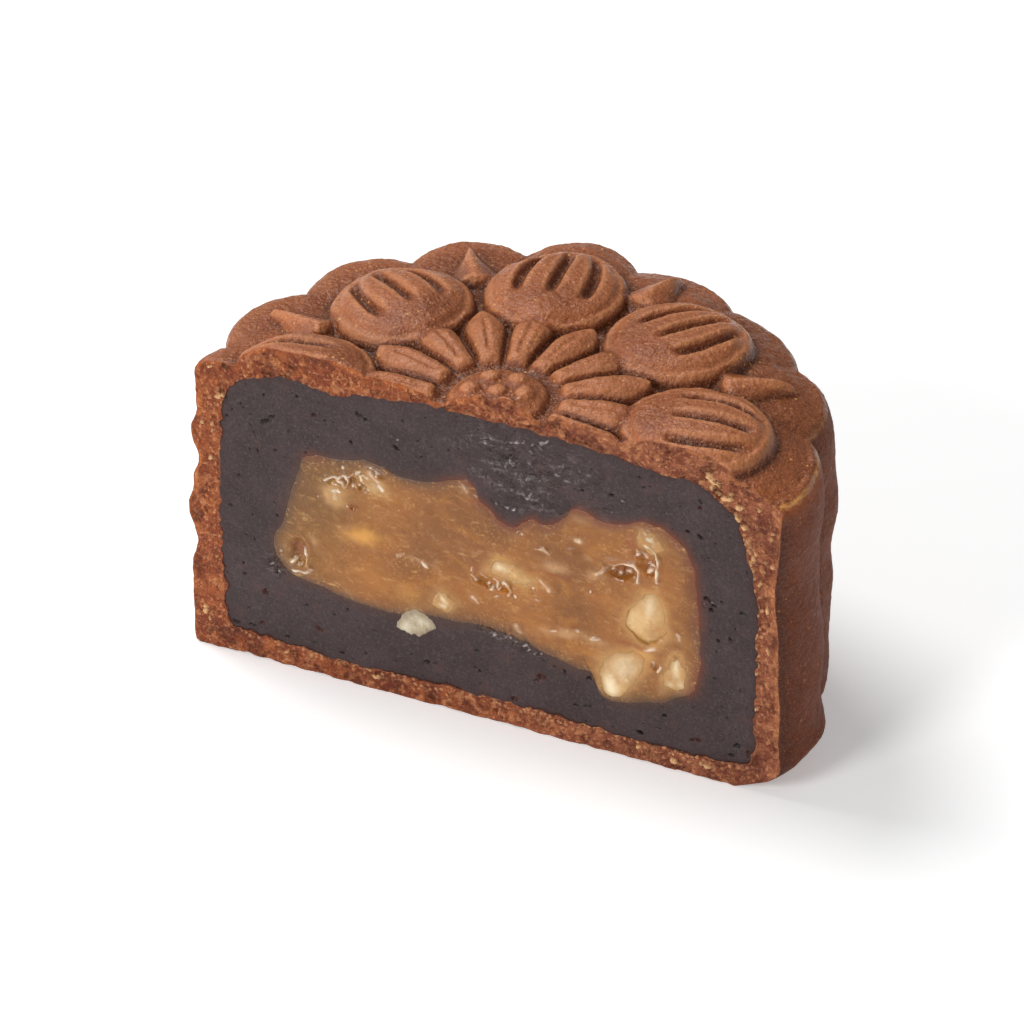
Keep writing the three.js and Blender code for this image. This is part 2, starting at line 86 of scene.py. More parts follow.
# Half outlines of the fillings on the cut, from the bottom to the top
PASTE_RIGHT = [
    (0, 2.1), (5, 2.05), (9.5, 1.9), (14, 1.8), (18, 1.9), (20.5, 2.1), (21.8, 2.9), (22.1, 5), (22.1, 10),
    (22.1, 15.5), (21.7, 18.7), (21.2, 20.7), (20.7, 22.5), (20.1, 24), (18.9, 25.1), (17.2, 26),
    (15.5, 26.4), (12.8, 26.5), (10, 26.7), (8, 26.95), (5, 27.2), (0, 27.25),
]
PASTE_LEFT = [
    (0, 2.1), (5.5, 1.95), (11, 1.9), (16.5, 2), (21.3, 2.2), (22.4, 3), (22.7, 5), (22.9, 10), (22.9, 14),
    (22.8, 18), (22.6, 21.4), (22.35, 23.2), (21.75, 24.45), (20.35, 25.4), (18.6, 26.1), (16.6, 26.45),
    (15, 26.3), (13.6, 25.95), (12.5, 25.9), (11.2, 26.4), (10, 26.75), (8.2, 27), (5, 27.2), (0, 27.25),
]
CORE_RIGHT = [
    (0, 8.5), (2, 8.4), (4.5, 7.7), (7, 7.1), (8.5, 6.95), (8.95, 5.9), (9.5, 5.05), (10.6, 4.8), (12, 5.1),
    (13.8, 5.65), (15.5, 6.45), (16.9, 7.5), (17.4, 9.5), (17.5, 12.5), (17.2, 16), (16.7, 19),
    (15.8, 20.5), (14.4, 21.4), (12.6, 21.7), (11, 21), (9.4, 20.9), (8, 21.3), (7, 21.2), (6.4, 20.3),
    (5.5, 19.6), (4.5, 19.2), (3.6, 19.4), (2.9, 18.9), (1.9, 18.2), (0.9, 18.6), (0, 19.3),
]
CORE_LEFT = [
    (0, 8.5), (4.4, 8.3), (6.5, 7.9), (9, 7.6), (11, 7.7), (13.5, 8.1), (16.5, 8.6), (17.5, 9.2),
    (18.2, 10.4), (18.2, 12), (17.5, 13.5), (16.6, 16.8), (15.8, 19.2), (15, 20), (13, 20.3), (11, 20.7),
    (9.3, 20.6), (7, 20.1), (5.2, 20.3), (3.2, 21.1), (2, 21.4), (1.3, 20.8), (0.7, 19.9), (0, 19.3),
]
CORNER_LEAN = 1.6
# How far the fillings reach behind the cut for their half width, and the rims just behind the cut
PASTE_REACH, CORE_REACH = 1.035, 0.93
PASTE_RIM_DEPTH, CORE_RIM_DEPTH = 0.22, 0.24
RIM_OUTSET, BACK_SHRINK = 0.07, 0.012

# How finely the surfaces are divided
TURNS = 460
BASE_STEPS, SIDE_STEPS, TOP_STEPS = 170, 190, 200
HALF_STEPS = BASE_STEPS + SIDE_STEPS + TOP_STEPS
LOFT_TURNS = 22
BAND_ROWS, PASTE_ROWS, CORE_ROWS = 24, 74, 86
NUT_AROUND, NUT_ROWS = 96, 48


def smoothstep(value, low, high):
    t = np.clip((value - low) / (high - low), 0, 1)
    return t * t * (3 - 2 * t)


def mix(a, b, share):
    return a + (b - a) * share


def hill(away, spread=1.0):
    """1 in the middle, fading out past the spread."""
    return np.exp(-(away / spread) ** 2)


def unit(vectors):
    return vectors / np.linalg.norm(vectors, axis=-1, keepdims=True)


def gap(points, others):
    return np.linalg.norm(points - others, axis=-1)


def curve_through(points):
    """A smooth curve through (x, y) points, as a function of x."""
    xs, ys = np.array(points, float).T
    before = np.maximum(np.arange(len(xs)) - 1, 0)
    after = np.minimum(np.arange(len(xs)) + 1, len(xs) - 1)
    slopes = (ys[after] - ys[before]) / (xs[after] - xs[before])

    def at(x):
        x = np.clip(x, xs[0], xs[-1])
        i = np.clip(np.searchsorted(xs, x), 1, len(xs) - 1)
        span = xs[i] - xs[i - 1]
        t = (x - xs[i - 1]) / span
        bend = ys[i - 1] * (1 + 2 * t) * (1 - t) ** 2 + ys[i] * t * t * (3 - 2 * t)
        return bend + span * t * (1 - t) * (slopes[i - 1] * (1 - t) - slopes[i] * t)

    return at


wall_outset = curve_through(WALL)
ground_rise = curve_through(GROUND)


# Noise, the same on every run
def corner_value(cell, seed):
    """A number from 0 to 1 for each corner of a unit lattice."""
    n = cell[..., 0] * 374761393 + cell[..., 1] * 668265263 + cell[..., 2] * 1440662683
    n = (n + seed * 974634777) & 0xFFFFFFFF
    n = ((n ^ (n >> 13)) * 1274126177) & 0xFFFFFFFF
    n = ((n ^ (n >> 16)) * 2246822519) & 0xFFFFFFFF
    return (n ^ (n >> 15)) / 4294967296.0


def noise(points, size, seed, octaves=1):
    """Smooth noise from about -1 to 1, in lumps of the given size."""
    total = np.zeros(points.shape[:-1])
    for octave in range(octaves):
        q = points / size * 2 ** octave + 17.3 * octave
        base = np.floor(q).astype(np.int64)
        f = q - base
        f = f * f * f * (f * (f * 6 - 15) + 10)
        value = 0
        for corner in itertools.product((0, 1), repeat=3):
            share = np.where(corner, f, 1 - f)
            weight = share[..., 0] * share[..., 1] * share[..., 2]
            value = value + weight * corner_value(base + corner, seed + octave)
        total += 0.5 ** octave * (2 * value - 1)
    return total / (2 - 0.5 ** (octaves - 1)) * 1.6


def cells(points, size, seed):
    """Distances to the nearest and next of scattered centres about a size apart, and the nearest's number."""
    q = points / size
    base = np.floor(q).astype(np.int64)
    best = np.full(points.shape[:-1], 9.0)
    second, label = best.copy(), np.zeros(best.shape)
    for shift in itertools.product((-1, 0, 1), repeat=3):
        cell = base + shift
        away = np.sqrt(sum((cell[..., k] + corner_value(cell, seed + k) - q[..., k]) ** 2 for k in range(3)))
        nearer = away < best
        second = np.where(nearer, best, np.minimum(second, away))
        label = np.where(nearer, corner_value(cell, seed + 3), label)
        best = np.where(nearer, away, best)
    return best, second, label


# The round of the cake
CUSP_RADIUS = CAKE_RADIUS - LOBE_DEPTH
HALF_CHORD = CUSP_RADIUS * math.sin(LOBE_STEP / 2)
ARC_HEIGHT = CAKE_RADIUS - CUSP_RADIUS * math.cos(LOBE_STEP / 2)
ARC_RADIUS = (HALF_CHORD ** 2 + ARC_HEIGHT ** 2) / (2 * ARC_HEIGHT)
ARC_CENTRE = CAKE_RADIUS - ARC_RADIUS


def plan(x, y):
    """Radius and angle about the axis, on the round before it is flattened in depth."""
    return np.hypot(x, y / DEPTH_SCALE), np.arctan2(y / DEPTH_SCALE, x)


def angle_of(points):
    return plan(points[..., 0], points[..., 1])[1]


def from_nearest(angle, first=LOBE_MIDDLE, step=LOBE_STEP):
    """Angle from the nearest of a ring of evenly spaced directions."""
    return angle - first - step * np.round((angle - first) / step)


def along_nearest(radius, angle, first=LOBE_MIDDLE, step=LOBE_STEP):
    """Distances along and across the nearest of a ring of directions."""
    offset = from_nearest(angle, first, step)
    return radius * np.cos(offset), radius * np.sin(offset)


def lobe_swell(angle):
    lobe = np.round((angle - LOBE_MIDDLE) / LOBE_STEP).astype(int) % LOBE_COUNT
    return LOBE_SWELL[lobe] * (1 - (from_nearest(angle) / (LOBE_STEP / 2)) ** 2)


def wall_radius(angle, level):
    offset = from_nearest(angle)
    arc = np.sqrt(ARC_RADIUS ** 2 - (ARC_CENTRE * np.sin(offset)) ** 2)
    lobes = ARC_CENTRE * np.cos(offset) + arc + lobe_swell(angle)
    wobble = 0.1 * np.sin(0.9 * level - 3 * angle)
    for middle, height, angle_spread, level_spread, amount in WALL_SWELLINGS:
        turn = from_nearest(angle, math.radians(middle), 2 * math.pi) / math.radians(angle_spread)
        wobble = wobble + amount * np.exp(-turn ** 2 - ((level - height) / level_spread) ** 2)
    return lobes + wall_outset(level) + wobble


def rim_height(y):
    return RIM_HEIGHT + RIM_CLIMB * y


def foot_lift(angle):
    middle, spread, amount = FOOT_LIFT_OF_LOBE
    swelling_share = hill(from_nearest(angle, middle, 2 * math.pi), spread)
    return FOOT_LIFT + FOOT_LIFT_TO_RIGHT * np.cos(angle) + amount * swelling_share


# The flower on the top
POD = dict(radius=3.9, height=0.95, fullness=1.25, seeds=6, ring=2.15, seed=0.8, seed_height=0.4)
NARROW = dict(start=4.5, root_rise=0.8, root_share=0.6, shoulder=9.5, end=11.7, fill=0.9, height=1.15)
BROAD = dict(middle=15.5, half_length=5.9, half_width=5.6, height=2.2, roundness=0.4)
VEIN = dict(depth=0.75, half_width=0.55, start=13.2, end=20.6, fade=2.0, spread=0.5)
LEAF = dict(start=16.5, rise=1.0, end=22.8, half_width=2.9, height=1.1, ridge=0.7)
CREASE = dict(depth=0.17, half_width=0.26, start=5.4, end=10.2, fade=1.0)
BORDER = dict(depth=0.17, inside=0.26, spread=0.085)


def swelling(share):
    """A round back: 1 at the middle, 0 at the edge and beyond."""
    return np.sqrt(np.maximum(1 - share ** 2, 0))


def span_fade(along, span):
    """1 between the start and the end, fading at both."""
    rise = smoothstep(along, span["start"], span["start"] + span["fade"])
    return rise * (1 - smoothstep(along, span["end"] - span["fade"], span["end"]))


def pod_relief(radius, angle):
    disc = POD["height"] * np.minimum(1, POD["fullness"] * swelling(radius / POD["radius"]))
    along, across = along_nearest(radius, angle, step=2 * math.pi / POD["seeds"])
    ring_seed = np.hypot(along - POD["ring"], across)
    return disc + POD["seed_height"] * swelling(np.minimum(radius, ring_seed) / POD["seed"])


def narrow_petal_relief(radius, angle):
    along, across = along_nearest(radius, angle)
    start, shoulder, end = NARROW["start"], NARROW["shoulder"], NARROW["end"]
    widest = np.minimum(along, shoulder) * math.tan(LOBE_STEP / 2) * NARROW["fill"]
    half_width = widest * swelling(np.maximum(along - shoulder, 0) / (end - shoulder))
    inside = (along >= start) & (half_width > 1e-6)
    back = swelling(across / np.where(inside, half_width, 1))
    climb = mix(NARROW["root_share"], 1, smoothstep(along, start, shoulder))
    rise = smoothstep(along, start, start + NARROW["root_rise"])
    return np.where(inside, NARROW["height"] * climb * rise * back, 0)


def broad_petal_share(along, across):
    """How far along a broad petal, -1 to 1, and how far inside it: 1 in its middle, 0 on its edge."""
    length_share = (along - BROAD["middle"]) / BROAD["half_length"]
    return length_share, 1 - length_share ** 2 - (across / BROAD["half_width"]) ** 2


def broad_petal_relief(radius, angle):
    along, across = along_nearest(radius, angle, step=2 * LOBE_STEP)
    length_share, inside = broad_petal_share(along, across)
    vein_gap = np.maximum(VEIN["spread"] * BROAD["half_width"] * swelling(length_share), 1e-6)
    nearest = np.clip(np.round(across / vein_gap), -1, 1) * vein_gap
    groove = swelling((across - nearest) / VEIN["half_width"]) ** 2
    body = BROAD["height"] * np.maximum(inside, 0) ** BROAD["roundness"]
    return np.where(inside > 0, body - VEIN["depth"] * groove * span_fade(along, VEIN), 0)


def leaf_tip_relief(radius, angle):
    along, across = along_nearest(radius, angle, LOBE_MIDDLE + LOBE_STEP, 2 * LOBE_STEP)
    width = LEAF["half_width"] * (LEAF["end"] - along) / (LEAF["end"] - LEAF["start"])
    inside = (along >= LEAF["start"]) & (width > 1e-6)
    share = np.minimum(np.abs(across) / np.where(inside, width, 1), 1)
    rise = smoothstep(along, LEAF["start"], LEAF["start"] + LEAF["rise"])
    return np.where(inside, LEAF["height"] * (1 - share) ** LEAF["ridge"] * rise, 0)


def top_height(x, y):
    radius, angle = plan(x, y)
    share = radius / wall_radius(angle, RIM_HEIGHT)
    inner = 1 - smoothstep(share, *RELIEF_FADE)
    climb = LOBE_SWELL_CLIMB * lobe_swell(angle) * smoothstep(share, SWELL_CLIMB_FROM, 1)
    reliefs = (pod_relief, narrow_petal_relief, broad_petal_relief, leaf_tip_relief)
    relief = np.maximum.reduce([shape(radius, angle) for shape in reliefs])
    wobble = (0.16 * np.sin(0.31 * x + 0.8) * np.cos(0.27 * y + 0.4)
              + 0.08 * np.sin(0.55 * x - 0.48 * y))
    ground = rim_height(y) + climb + ground_rise(share * CAKE_RADIUS)
    return ground + relief * np.sqrt(inner) + (RELIEF_TILT * x + wobble) * inner


def soft_top_height(x, y, softness, samples=8):
    """The mean height over a small round spot."""
    total = top_height(x, y)
    for i in range(samples):
        turn = 2 * math.pi * i / samples
        total = total + top_height(x + softness * math.cos(turn), y + softness * math.sin(turn))
    return total / (samples + 1)


def fine_lines(x, y):
    """Shallow creases pressed into the narrow petals, and a line round the broad ones."""
    radius, angle = plan(x, y)
    along, across = along_nearest(radius, angle)
    crease = hill(across, CREASE["half_width"]) * span_fade(along, CREASE)
    inside = broad_petal_share(*along_nearest(radius, angle, step=2 * LOBE_STEP))[1]
    return -CREASE["depth"] * crease - BORDER["depth"] * hill(inside - BORDER["inside"], BORDER["spread"])


def ray_hit(turn, level, inset=0.0):
    """Distance from the middle of the cut edge to the wall, along directions fanned out behind the cut."""
    reach = np.full(np.broadcast(turn, level).shape, CAKE_RADIUS)
    for _ in range(14):
        x = reach * np.cos(turn)
        y = CUT_Y / DEPTH_SCALE + reach * np.sin(turn)
        reach = reach + wall_radius(np.arctan2(y, x), level) - inset - np.hypot(x, y)
    return reach


def fan_point(turn, reach, z):
    """Points at a turn and a reach from the middle of the cut edge."""
    turn, reach, z = np.broadcast_arrays(turn, reach, z)
    return np.stack([reach * np.cos(turn), CUT_Y + DEPTH_SCALE * reach * np.sin(turn), z], -1)


# Meshes
low_corner, high_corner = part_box("crust")
AXIS_SHIFT = np.array([0.05116, low_corner.y * 1000 - CUT_Y, 0.0])
BOX_MARGIN = 0.004


def to_frame(points):
    """Millimetres about the cake's axis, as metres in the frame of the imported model."""
    return (points + AXIS_SHIFT) / 1000.0


class Shell:
    """Collects grids of points into one closed mesh, with numbers carried by the points."""

    def __init__(self):
        self.points, self.quads, self.marks, self.count = [], [], [], 0

    def grid(self, points, flip=False, around=False, **marks):
        """A grid of points, rows by columns, and the numbers that they carry; others are 0 there."""
        rows, columns = points.shape[:2]
        index = np.arange(rows * columns).reshape(rows, columns) + self.count
        if around:
            index = np.concatenate([index, index[:, :1]], 1)
        quads = np.stack([index[:-1, :-1], index[:-1, 1:], index[1:, 1:], index[1:, :-1]], -1).reshape(-1, 4)
        self.quads.append(quads[:, ::-1] if flip else quads)
        self.points.append(points.reshape(-1, 3))
        self.marks.append({key: np.broadcast_to(v, (rows, columns)).ravel() for key, v in marks.items()})
        self.count += rows * columns
        return index

    def build(self, name, loops=()):
        """Welds equal points, drops flattened quads and makes the object; loops are filled flat."""
        points = np.concatenate(self.points)
        _, first, inverse = np.unique(np.round(points, 6), axis=0, return_index=True, return_inverse=True)
        inverse = inverse.reshape(-1)
        quads = inverse[np.concatenate(self.quads)]
        keep = quads != np.roll(quads, -1, axis=1)
        whole = (keep.sum(1) > 2) & (quads[:, 0] != quads[:, 2]) & (quads[:, 1] != quads[:, 3])
        corners, sizes = [quads[whole][keep[whole]]], [keep[whole].sum(1)]
        for loop in loops:
            loop = inverse[loop]
            corners.append(loop[loop != np.roll(loop, 1)])
            sizes.append([len(corners[-1])])
        corners = np.concatenate(corners).astype(np.int32)
        sizes = np.concatenate(sizes)
        mesh = bpy.data.meshes.new(name)
        mesh.vertices.add(len(first))
        mesh.vertices.foreach_set("co", to_frame(points[first]).astype(np.float32).ravel())
        mesh.loops.add(len(corners))
        mesh.loops.foreach_set("vertex_index", corners)
        mesh.polygons.add(len(sizes))
        mesh.polygons.foreach_set("loop_start", (np.cumsum(sizes) - sizes).astype(np.int32))
        mesh.update(calc_edges=True)
        mesh.validate()
        for key in sorted(set().union(*self.marks)):
            values = np.concatenate([m.get(key, np.zeros(len(p))) for m, p in zip(self.marks, self.points)])
            layer = mesh.attributes.new(key, "FLOAT", "POINT")
            layer.data.foreach_set("value", values[first].astype(np.float32))
        mesh.shade_smooth()
        return placed(name, mesh)


def placed(name, data):
    thing = bpy.data.objects.new(name, data)
    bpy.context.scene.collection.objects.link(thing)
    return thing


# Curves on the cut face
def respaced(chain, steps):
    """The same chain with a number of evenly spaced steps."""
    length = np.concatenate([[0], np.cumsum(np.linalg.norm(np.diff(chain, axis=0), axis=1))])
    at = np.linspace(0, length[-1], steps + 1)
    return np.stack([np.interp(at, length, column) for column in chain.T], -1)


def smooth_chain(points, steps=2400):
    """Evenly spaced points of a smooth curve through points."""
    p = np.array(points, float)
    p = np.concatenate([2 * p[:1] - p[1:2], p, 2 * p[-1:] - p[-2:-1]])
    t = np.linspace(0, len(points) - 1, 3 * steps)
    i = np.minimum(t.astype(int), len(points) - 2)
    f = (t - i)[:, None]
    a, b, c, d = p[i], p[i + 1], p[i + 2], p[i + 3]
    chain = 0.5 * (2 * b + (c - a) * f + (2 * a - 5 * b + 4 * c - d) * f ** 2
                   + (3 * b - a - 3 * c + d) * f ** 3)
    return respaced(chain, steps)


def half_outline(points):
    """A half outline in three spans: base, side and top, meeting at its two outermost corners."""
    chain = smooth_chain(points)
    low, high = (int(np.argmax(chain[:, 0] + lean * chain[:, 1])) for lean in (-CORNER_LEAN, CORNER_LEAN))
    return np.concatenate([respaced(chain[:low + 1], BASE_STEPS)[:-1],
                           respaced(chain[low:high + 1], SIDE_STEPS)[:-1],
                           respaced(chain[high:], TOP_STEPS)])


def loop_of(right, left):
    """Right half from the bottom to the top, then the left half back down, as (x, z) points."""
    return np.concatenate([right, (left * [-1, 1])[-2:0:-1]])


def moved_out(loop, amount):
    """A closed loop moved outwards, by one amount or by one for each point."""
    along = unit(np.roll(loop, -2, axis=0) - np.roll(loop, 2, axis=0))
    return loop + np.stack([along[:, 1], -along[:, 0]], -1) * np.reshape(amount, (-1, 1))


def on_axis(loop):
    """The loop with its lowest and highest points on the axis."""
    loop[[0, HALF_STEPS], 0] = 0
    return loop


def on_cut(loop, depth):
    """Points of the cut face from (x, z) points and their depth behind it."""
    return np.stack([loop[..., 0], CUT_Y + depth + np.zeros(loop.shape[:-1]), loop[..., 1]], -1)


def loop_noise(loop, size, seed, octaves=1):
    return noise(np.stack([loop[:, 0], np.full(len(loop), 3.7), loop[:, 1]], -1), size, seed, octaves)


def left_half(loop):
    """The left half of a closed loop, from the bottom to the top."""
    return np.concatenate([loop[:1], loop[:HALF_STEPS - 1:-1]])


def loft(loop, depth, reach, shrink=0.0):
    """The hidden back of a filling: a loop on the cut, turned about the upright axis.

    Rows run from the right half (turn 0) to the left half; columns from the bottom to the top."""
    right, left = loop[:HALF_STEPS + 1], left_half(loop) * [-1, 1]
    turn = np.linspace(0, math.pi, LOFT_TURNS + 1)[:, None]
    sine = np.sin(turn)
    sine[-1] = 0
    share = (1 - np.cos(turn)) / 2
    middle = loop[:, 1].mean()
    kept = 1 - shrink * sine ** 0.25
    radius = mix(right[:, 0], left[:, 0], share) * kept
    level = middle + (mix(right[:, 1], left[:, 1], share) - middle) * kept
    climb = rim_height(CUT_Y + reach * radius * sine) / rim_height(CUT_Y)
    z = mix(level, level * climb, sine ** 0.5)
    front = mix(depth[:HALF_STEPS + 1], left_half(depth), share)
    y = CUT_Y + reach * radius * sine + front * (1 - np.minimum(sine * 6, 1))
    return np.stack([radius * np.cos(turn), y, z], -1)


def ring_rows(outer, inner, rows):
    return mix(outer[None], inner[None], np.linspace(0, 1, rows + 1)[:, None, None])


def turned(points, x, z, turn):
    """Places on the cut face about (x, z), along and across a direction."""
    dx, dz = points[..., 0] - x, points[..., 2] - z
    return dx * math.cos(turn) + dz * math.sin(turn), dz * math.cos(turn) - dx * math.sin(turn)


def blob(points, x, z, half_width, half_height, turn):
    """Distance from an oval's middle, 1 on its edge."""
    along, across = turned(points, x, z, turn)
    return np.hypot(along / half_width, across / half_height)


def patch(points, x, z, half_width, half_height, turn=0.0):
    """A soft oval: 1 at its middle, fading out past its half sizes."""
    along, across = turned(points, x, z, turn)
    return np.exp(-(along / half_width) ** 2 - (across / half_height) ** 2)


def tint(points, spots, waver):
    total = np.zeros(points.shape[:-1])
    for *oval, strength in spots:
        away = np.clip(blob(points, *oval) + waver, 0, 9)
        total = np.maximum(total, strength * np.exp(-1.3 * away ** 2))
    return np.clip(total, 0, 1)


def pit_field(points, spots):
    """Small pits: depth from 0 to 1 at each point, for spots of (x, z, radius, stretch, turn)."""
    depth = np.zeros(points.shape[:-1])
    for x, z, radius, stretch, turn in spots:
        reach = 2.2 * radius * max(stretch, 1)
        near = (np.abs(points[..., 0] - x) < reach) & (np.abs(points[..., 2] - z) < reach)
        along, across = turned(points[near], x, z, turn)
        away = np.hypot(along / stretch, across) / radius + 0.55 * noise(points[near], 0.30, 87, 2)
        depth[near] = np.maximum(depth[near], 1 - smoothstep(away, 0.45, 1.25))
    return depth


def path_distance(points, path, closed=False):
    """Distance on the cut face from a path of (x, z) points."""
    path = np.array(path, float)
    best = np.full(points.shape[:-1], 99.0)
    for (ax, az), (bx, bz) in zip(path, np.roll(path, -1, axis=0) if closed else path[1:]):
        dx, dz = bx - ax, bz - az
        from_x, from_z = points[..., 0] - ax, points[..., 2] - az
        t = np.clip((from_x * dx + from_z * dz) / (dx * dx + dz * dz), 0, 1)
        best = np.minimum(best, np.hypot(from_x - t * dx, from_z - t * dz))
    return best


def inside_outline(x, z, outline):
    """Whether places on the cut lie inside a closed outline."""
    inside = np.zeros(x.shape, bool)
    for (ax, az), (bx, bz) in zip(outline, np.roll(outline, -1, axis=0)):
        if az != bz:
            inside ^= ((az > z) != (bz > z)) & (x < ax + (z - az) / (bz - az) * (bx - ax))
    return inside


def outline_distance(points, outline):
    """Distance on the cut face from a closed outline, negative inside it."""
    away = path_distance(points, outline, closed=True)
    return np.where(inside_outline(points[..., 0], points[..., 2], outline), -away, away)


def filled_face(shell, face, outer, marks, reach, rim_depth):
    """The face of a filling on the cut, its rim just behind the cut and its hidden back."""
    rim = on_axis(moved_out(outer, RIM_OUTSET))
    depth = np.full(len(rim), rim_depth)
    # The rim's row repeats the marks of the face's first row
    marks = {key: np.concatenate([v[:1], v]) if np.ndim(v) > 1 else v for key, v in marks.items()}
    shell.grid(np.concatenate([on_cut(rim, depth)[None], face]), around=True, **marks)
    shell.grid(loft(rim, depth, reach, BACK_SHRINK), flip=True)


PASTE_LOOP = loop_of(half_outline(PASTE_RIGHT), half_outline(PASTE_LEFT))
CORE_LOOP = loop_of(half_outline(CORE_RIGHT), half_outline(CORE_LEFT))
# The border of crust and paste is jagged, that of paste and core smoother
CRUST_PASTE = on_axis(moved_out(PASTE_LOOP, 0.16 * loop_noise(PASTE_LOOP, 1.5, 11, 2)
                                + 0.14 * loop_noise(PASTE_LOOP, 0.55, 12, 2)))
PASTE_CORE = on_axis(moved_out(CORE_LOOP, 0.10 * loop_noise(CORE_LOOP, 1.3, 21, 2)))

# Outer skin of the crust: how its rows are shared out, a foot that is rounded less at the left end of the
# cut, and a raised lip along the rim, highest near the right end of the cut
FOOT_STEPS, RIM_STEPS, RIM_BEFORE = 12, 18, 9
FOOT_SLOPE_STEPS = 4
EDGE_SHARE = 0.6
TOP_SOFTNESS = 0.12
FOOT_FROM = (0.6, 0.8)
FOOT_HEIGHT = (1.1, 0.4)
LEFT_END_SPREAD, LEFT_END_DROP = 0.12, 0.6
RIM_LIP = dict(height=0.12, more=0.42, turn=0.19, turn_spread=0.15, inset=0.30, width=0.42)


def crust_skin():
    """Rows from the flat base up over the foot, wall, rim and top to the middle of the cut edge."""
    turn = np.linspace(0, math.pi, TURNS + 1)[None]
    rim_reach = ray_hit(turn, RIM_HEIGHT)
    left_end = hill(math.pi - turn, LEFT_END_SPREAD)
    lift = foot_lift(angle_of(fan_point(turn, rim_reach, 0))) * (1 - LEFT_END_DROP * left_end)

    def on_wall(level):
        point = fan_point(turn, ray_hit(turn, level + 0 * turn), 0)
        climb = LOBE_SWELL_CLIMB * lobe_swell(angle_of(point))
        point[..., 2] = level * (rim_height(point[..., 1]) + climb) / RIM_HEIGHT
        return point

    def on_slope(share):
        return fan_point(turn, ray_hit(turn, lift, FOOT_LIFT_SLOPE * lift * (1 - share)), lift * share)

    def on_top(share):
        point = fan_point(turn, rim_reach * share, 0)
        x, y = point[..., 0], point[..., 1]
        ragged = 0.85 + 0.3 * noise(point, 1.2, 33)
        lip = lip_height * ragged * hill(rim_reach * (1 - share) - RIM_LIP["inset"], RIM_LIP["width"])
        point[..., 2] = soft_top_height(x, y, TOP_SOFTNESS) + fine_lines(x, y) + lip
        return point

    def bend(first, corner, last, steps):
        t = np.arange(steps)[:, None, None] / steps
        return (1 - t) ** 2 * first + 2 * t * (1 - t) * corner + t ** 2 * last

    def rows(first, last, steps):
        return mix(first, last, np.arange(steps)[:, None] / steps)

    lip_height = RIM_LIP["height"] + RIM_LIP["more"] * hill(turn - RIM_LIP["turn"], RIM_LIP["turn_spread"])
    rim_level, rim_share = RIM_HEIGHT - 0.95 * FILLET, 1 - FILLET / RIM_REACH
    foot_top = lift + mix(*FOOT_HEIGHT, left_end)
    start = on_slope(mix(*FOOT_FROM, left_end))
    slope_share = np.linspace(0, 1, FOOT_SLOPE_STEPS + 1)[:-1][:, None, None]
    wall_steps = SIDE_STEPS - FOOT_SLOPE_STEPS - FOOT_STEPS - RIM_BEFORE
    top_steps = TOP_STEPS - (RIM_STEPS - RIM_BEFORE)
    points = np.concatenate([
        mix(on_slope(0.0), start, slope_share),
        bend(start, on_wall(lift), on_wall(foot_top), FOOT_STEPS),
        on_wall(rows(foot_top, rim_level, wall_steps)),
        bend(on_wall(rim_level), on_top(np.ones((1, 1))), on_top(rim_share), RIM_STEPS),
        on_top(np.linspace(1, 0, top_steps + 1)[:, None] * rim_share)])
    upward = np.concatenate([np.zeros(SIDE_STEPS - RIM_BEFORE), np.linspace(0, 1, RIM_STEPS),
                             np.ones(top_steps + 1)])[:, None]
    climbed = np.cumsum(np.linalg.norm(np.diff(points, axis=0, prepend=points[:1]), axis=-1), axis=0)
    return points, upward, climbed - climbed[SIDE_STEPS - RIM_BEFORE + round(EDGE_SHARE * RIM_STEPS)]


skin, upward, above_edge = crust_skin()

# Marks for the crust's material: how deep a point lies in the relief, which sets painted shade in its hollows
# and creases and painted highlights on its ridges, and a painted highlight, with a little wear, along the
# rim's edge
raw_top = top_height(skin[..., 0], skin[..., 1])
hollow, crease = (np.where(upward > 0.99, soft_top_height(skin[..., 0], skin[..., 1], softness) - raw_top, 0)
                  for softness in (1.5, 0.6))
skin_angle = angle_of(skin)
cusp = 1 - np.abs(from_nearest(skin_angle)) / (LOBE_STEP / 2)
streaks = np.clip(0.75 + 0.9 * noise(skin * [1, 1, 3], 1.3, 31, 3), 0, 1)
near_cut = hill(skin_angle - 0.05, 0.20)
# A painted highlight along the rim's edge, with a little rubbed wear, strongest near the cut
worn = hill(above_edge, 0.24) * streaks * mix(0.25, 1.25, near_cut)
# A painted glow: lighter orange on the wall just below the rim, near the cut
warm = near_cut * hill(np.maximum(-above_edge, 0), 1.3) * (1 - smoothstep(above_edge, 0.0, 0.4))
shade = hill(skin_angle + 0.06, 0.07) * (1 - smoothstep(above_edge, -1.5, -0.3))

# Sandy unevenness, along the outward direction, and pits a spacing apart, where they aren't left out
PIT_SPACING, PITLESS_SHARE, PIT_DEPTH = 1.7, 0.62, 0.09
outward = unit(np.stack([np.cos(skin_angle) * (1 - upward), np.sin(skin_angle) * (1 - upward),
                         upward + 0 * skin_angle], -1))
grit = (0.05 * noise(skin, 2.6, 40) + 0.035 * noise(skin, 1.0, 41, 2) + 0.034 * noise(skin, 0.34, 42, 2))
pits_near, _, pits_label = cells(skin, PIT_SPACING, 43)
pit_size = 0.05 + 0.12 * pits_label
pits = np.where(pits_label > PITLESS_SHARE, smoothstep(pit_size - pits_near, 0, pit_size), 0)
base_fade = smoothstep(skin[..., 2], 0.05, 0.8)
skin = skin + outward * ((grit * mix(0.7, 1.0, upward) - PIT_DEPTH * pits) * base_fade)[..., None]

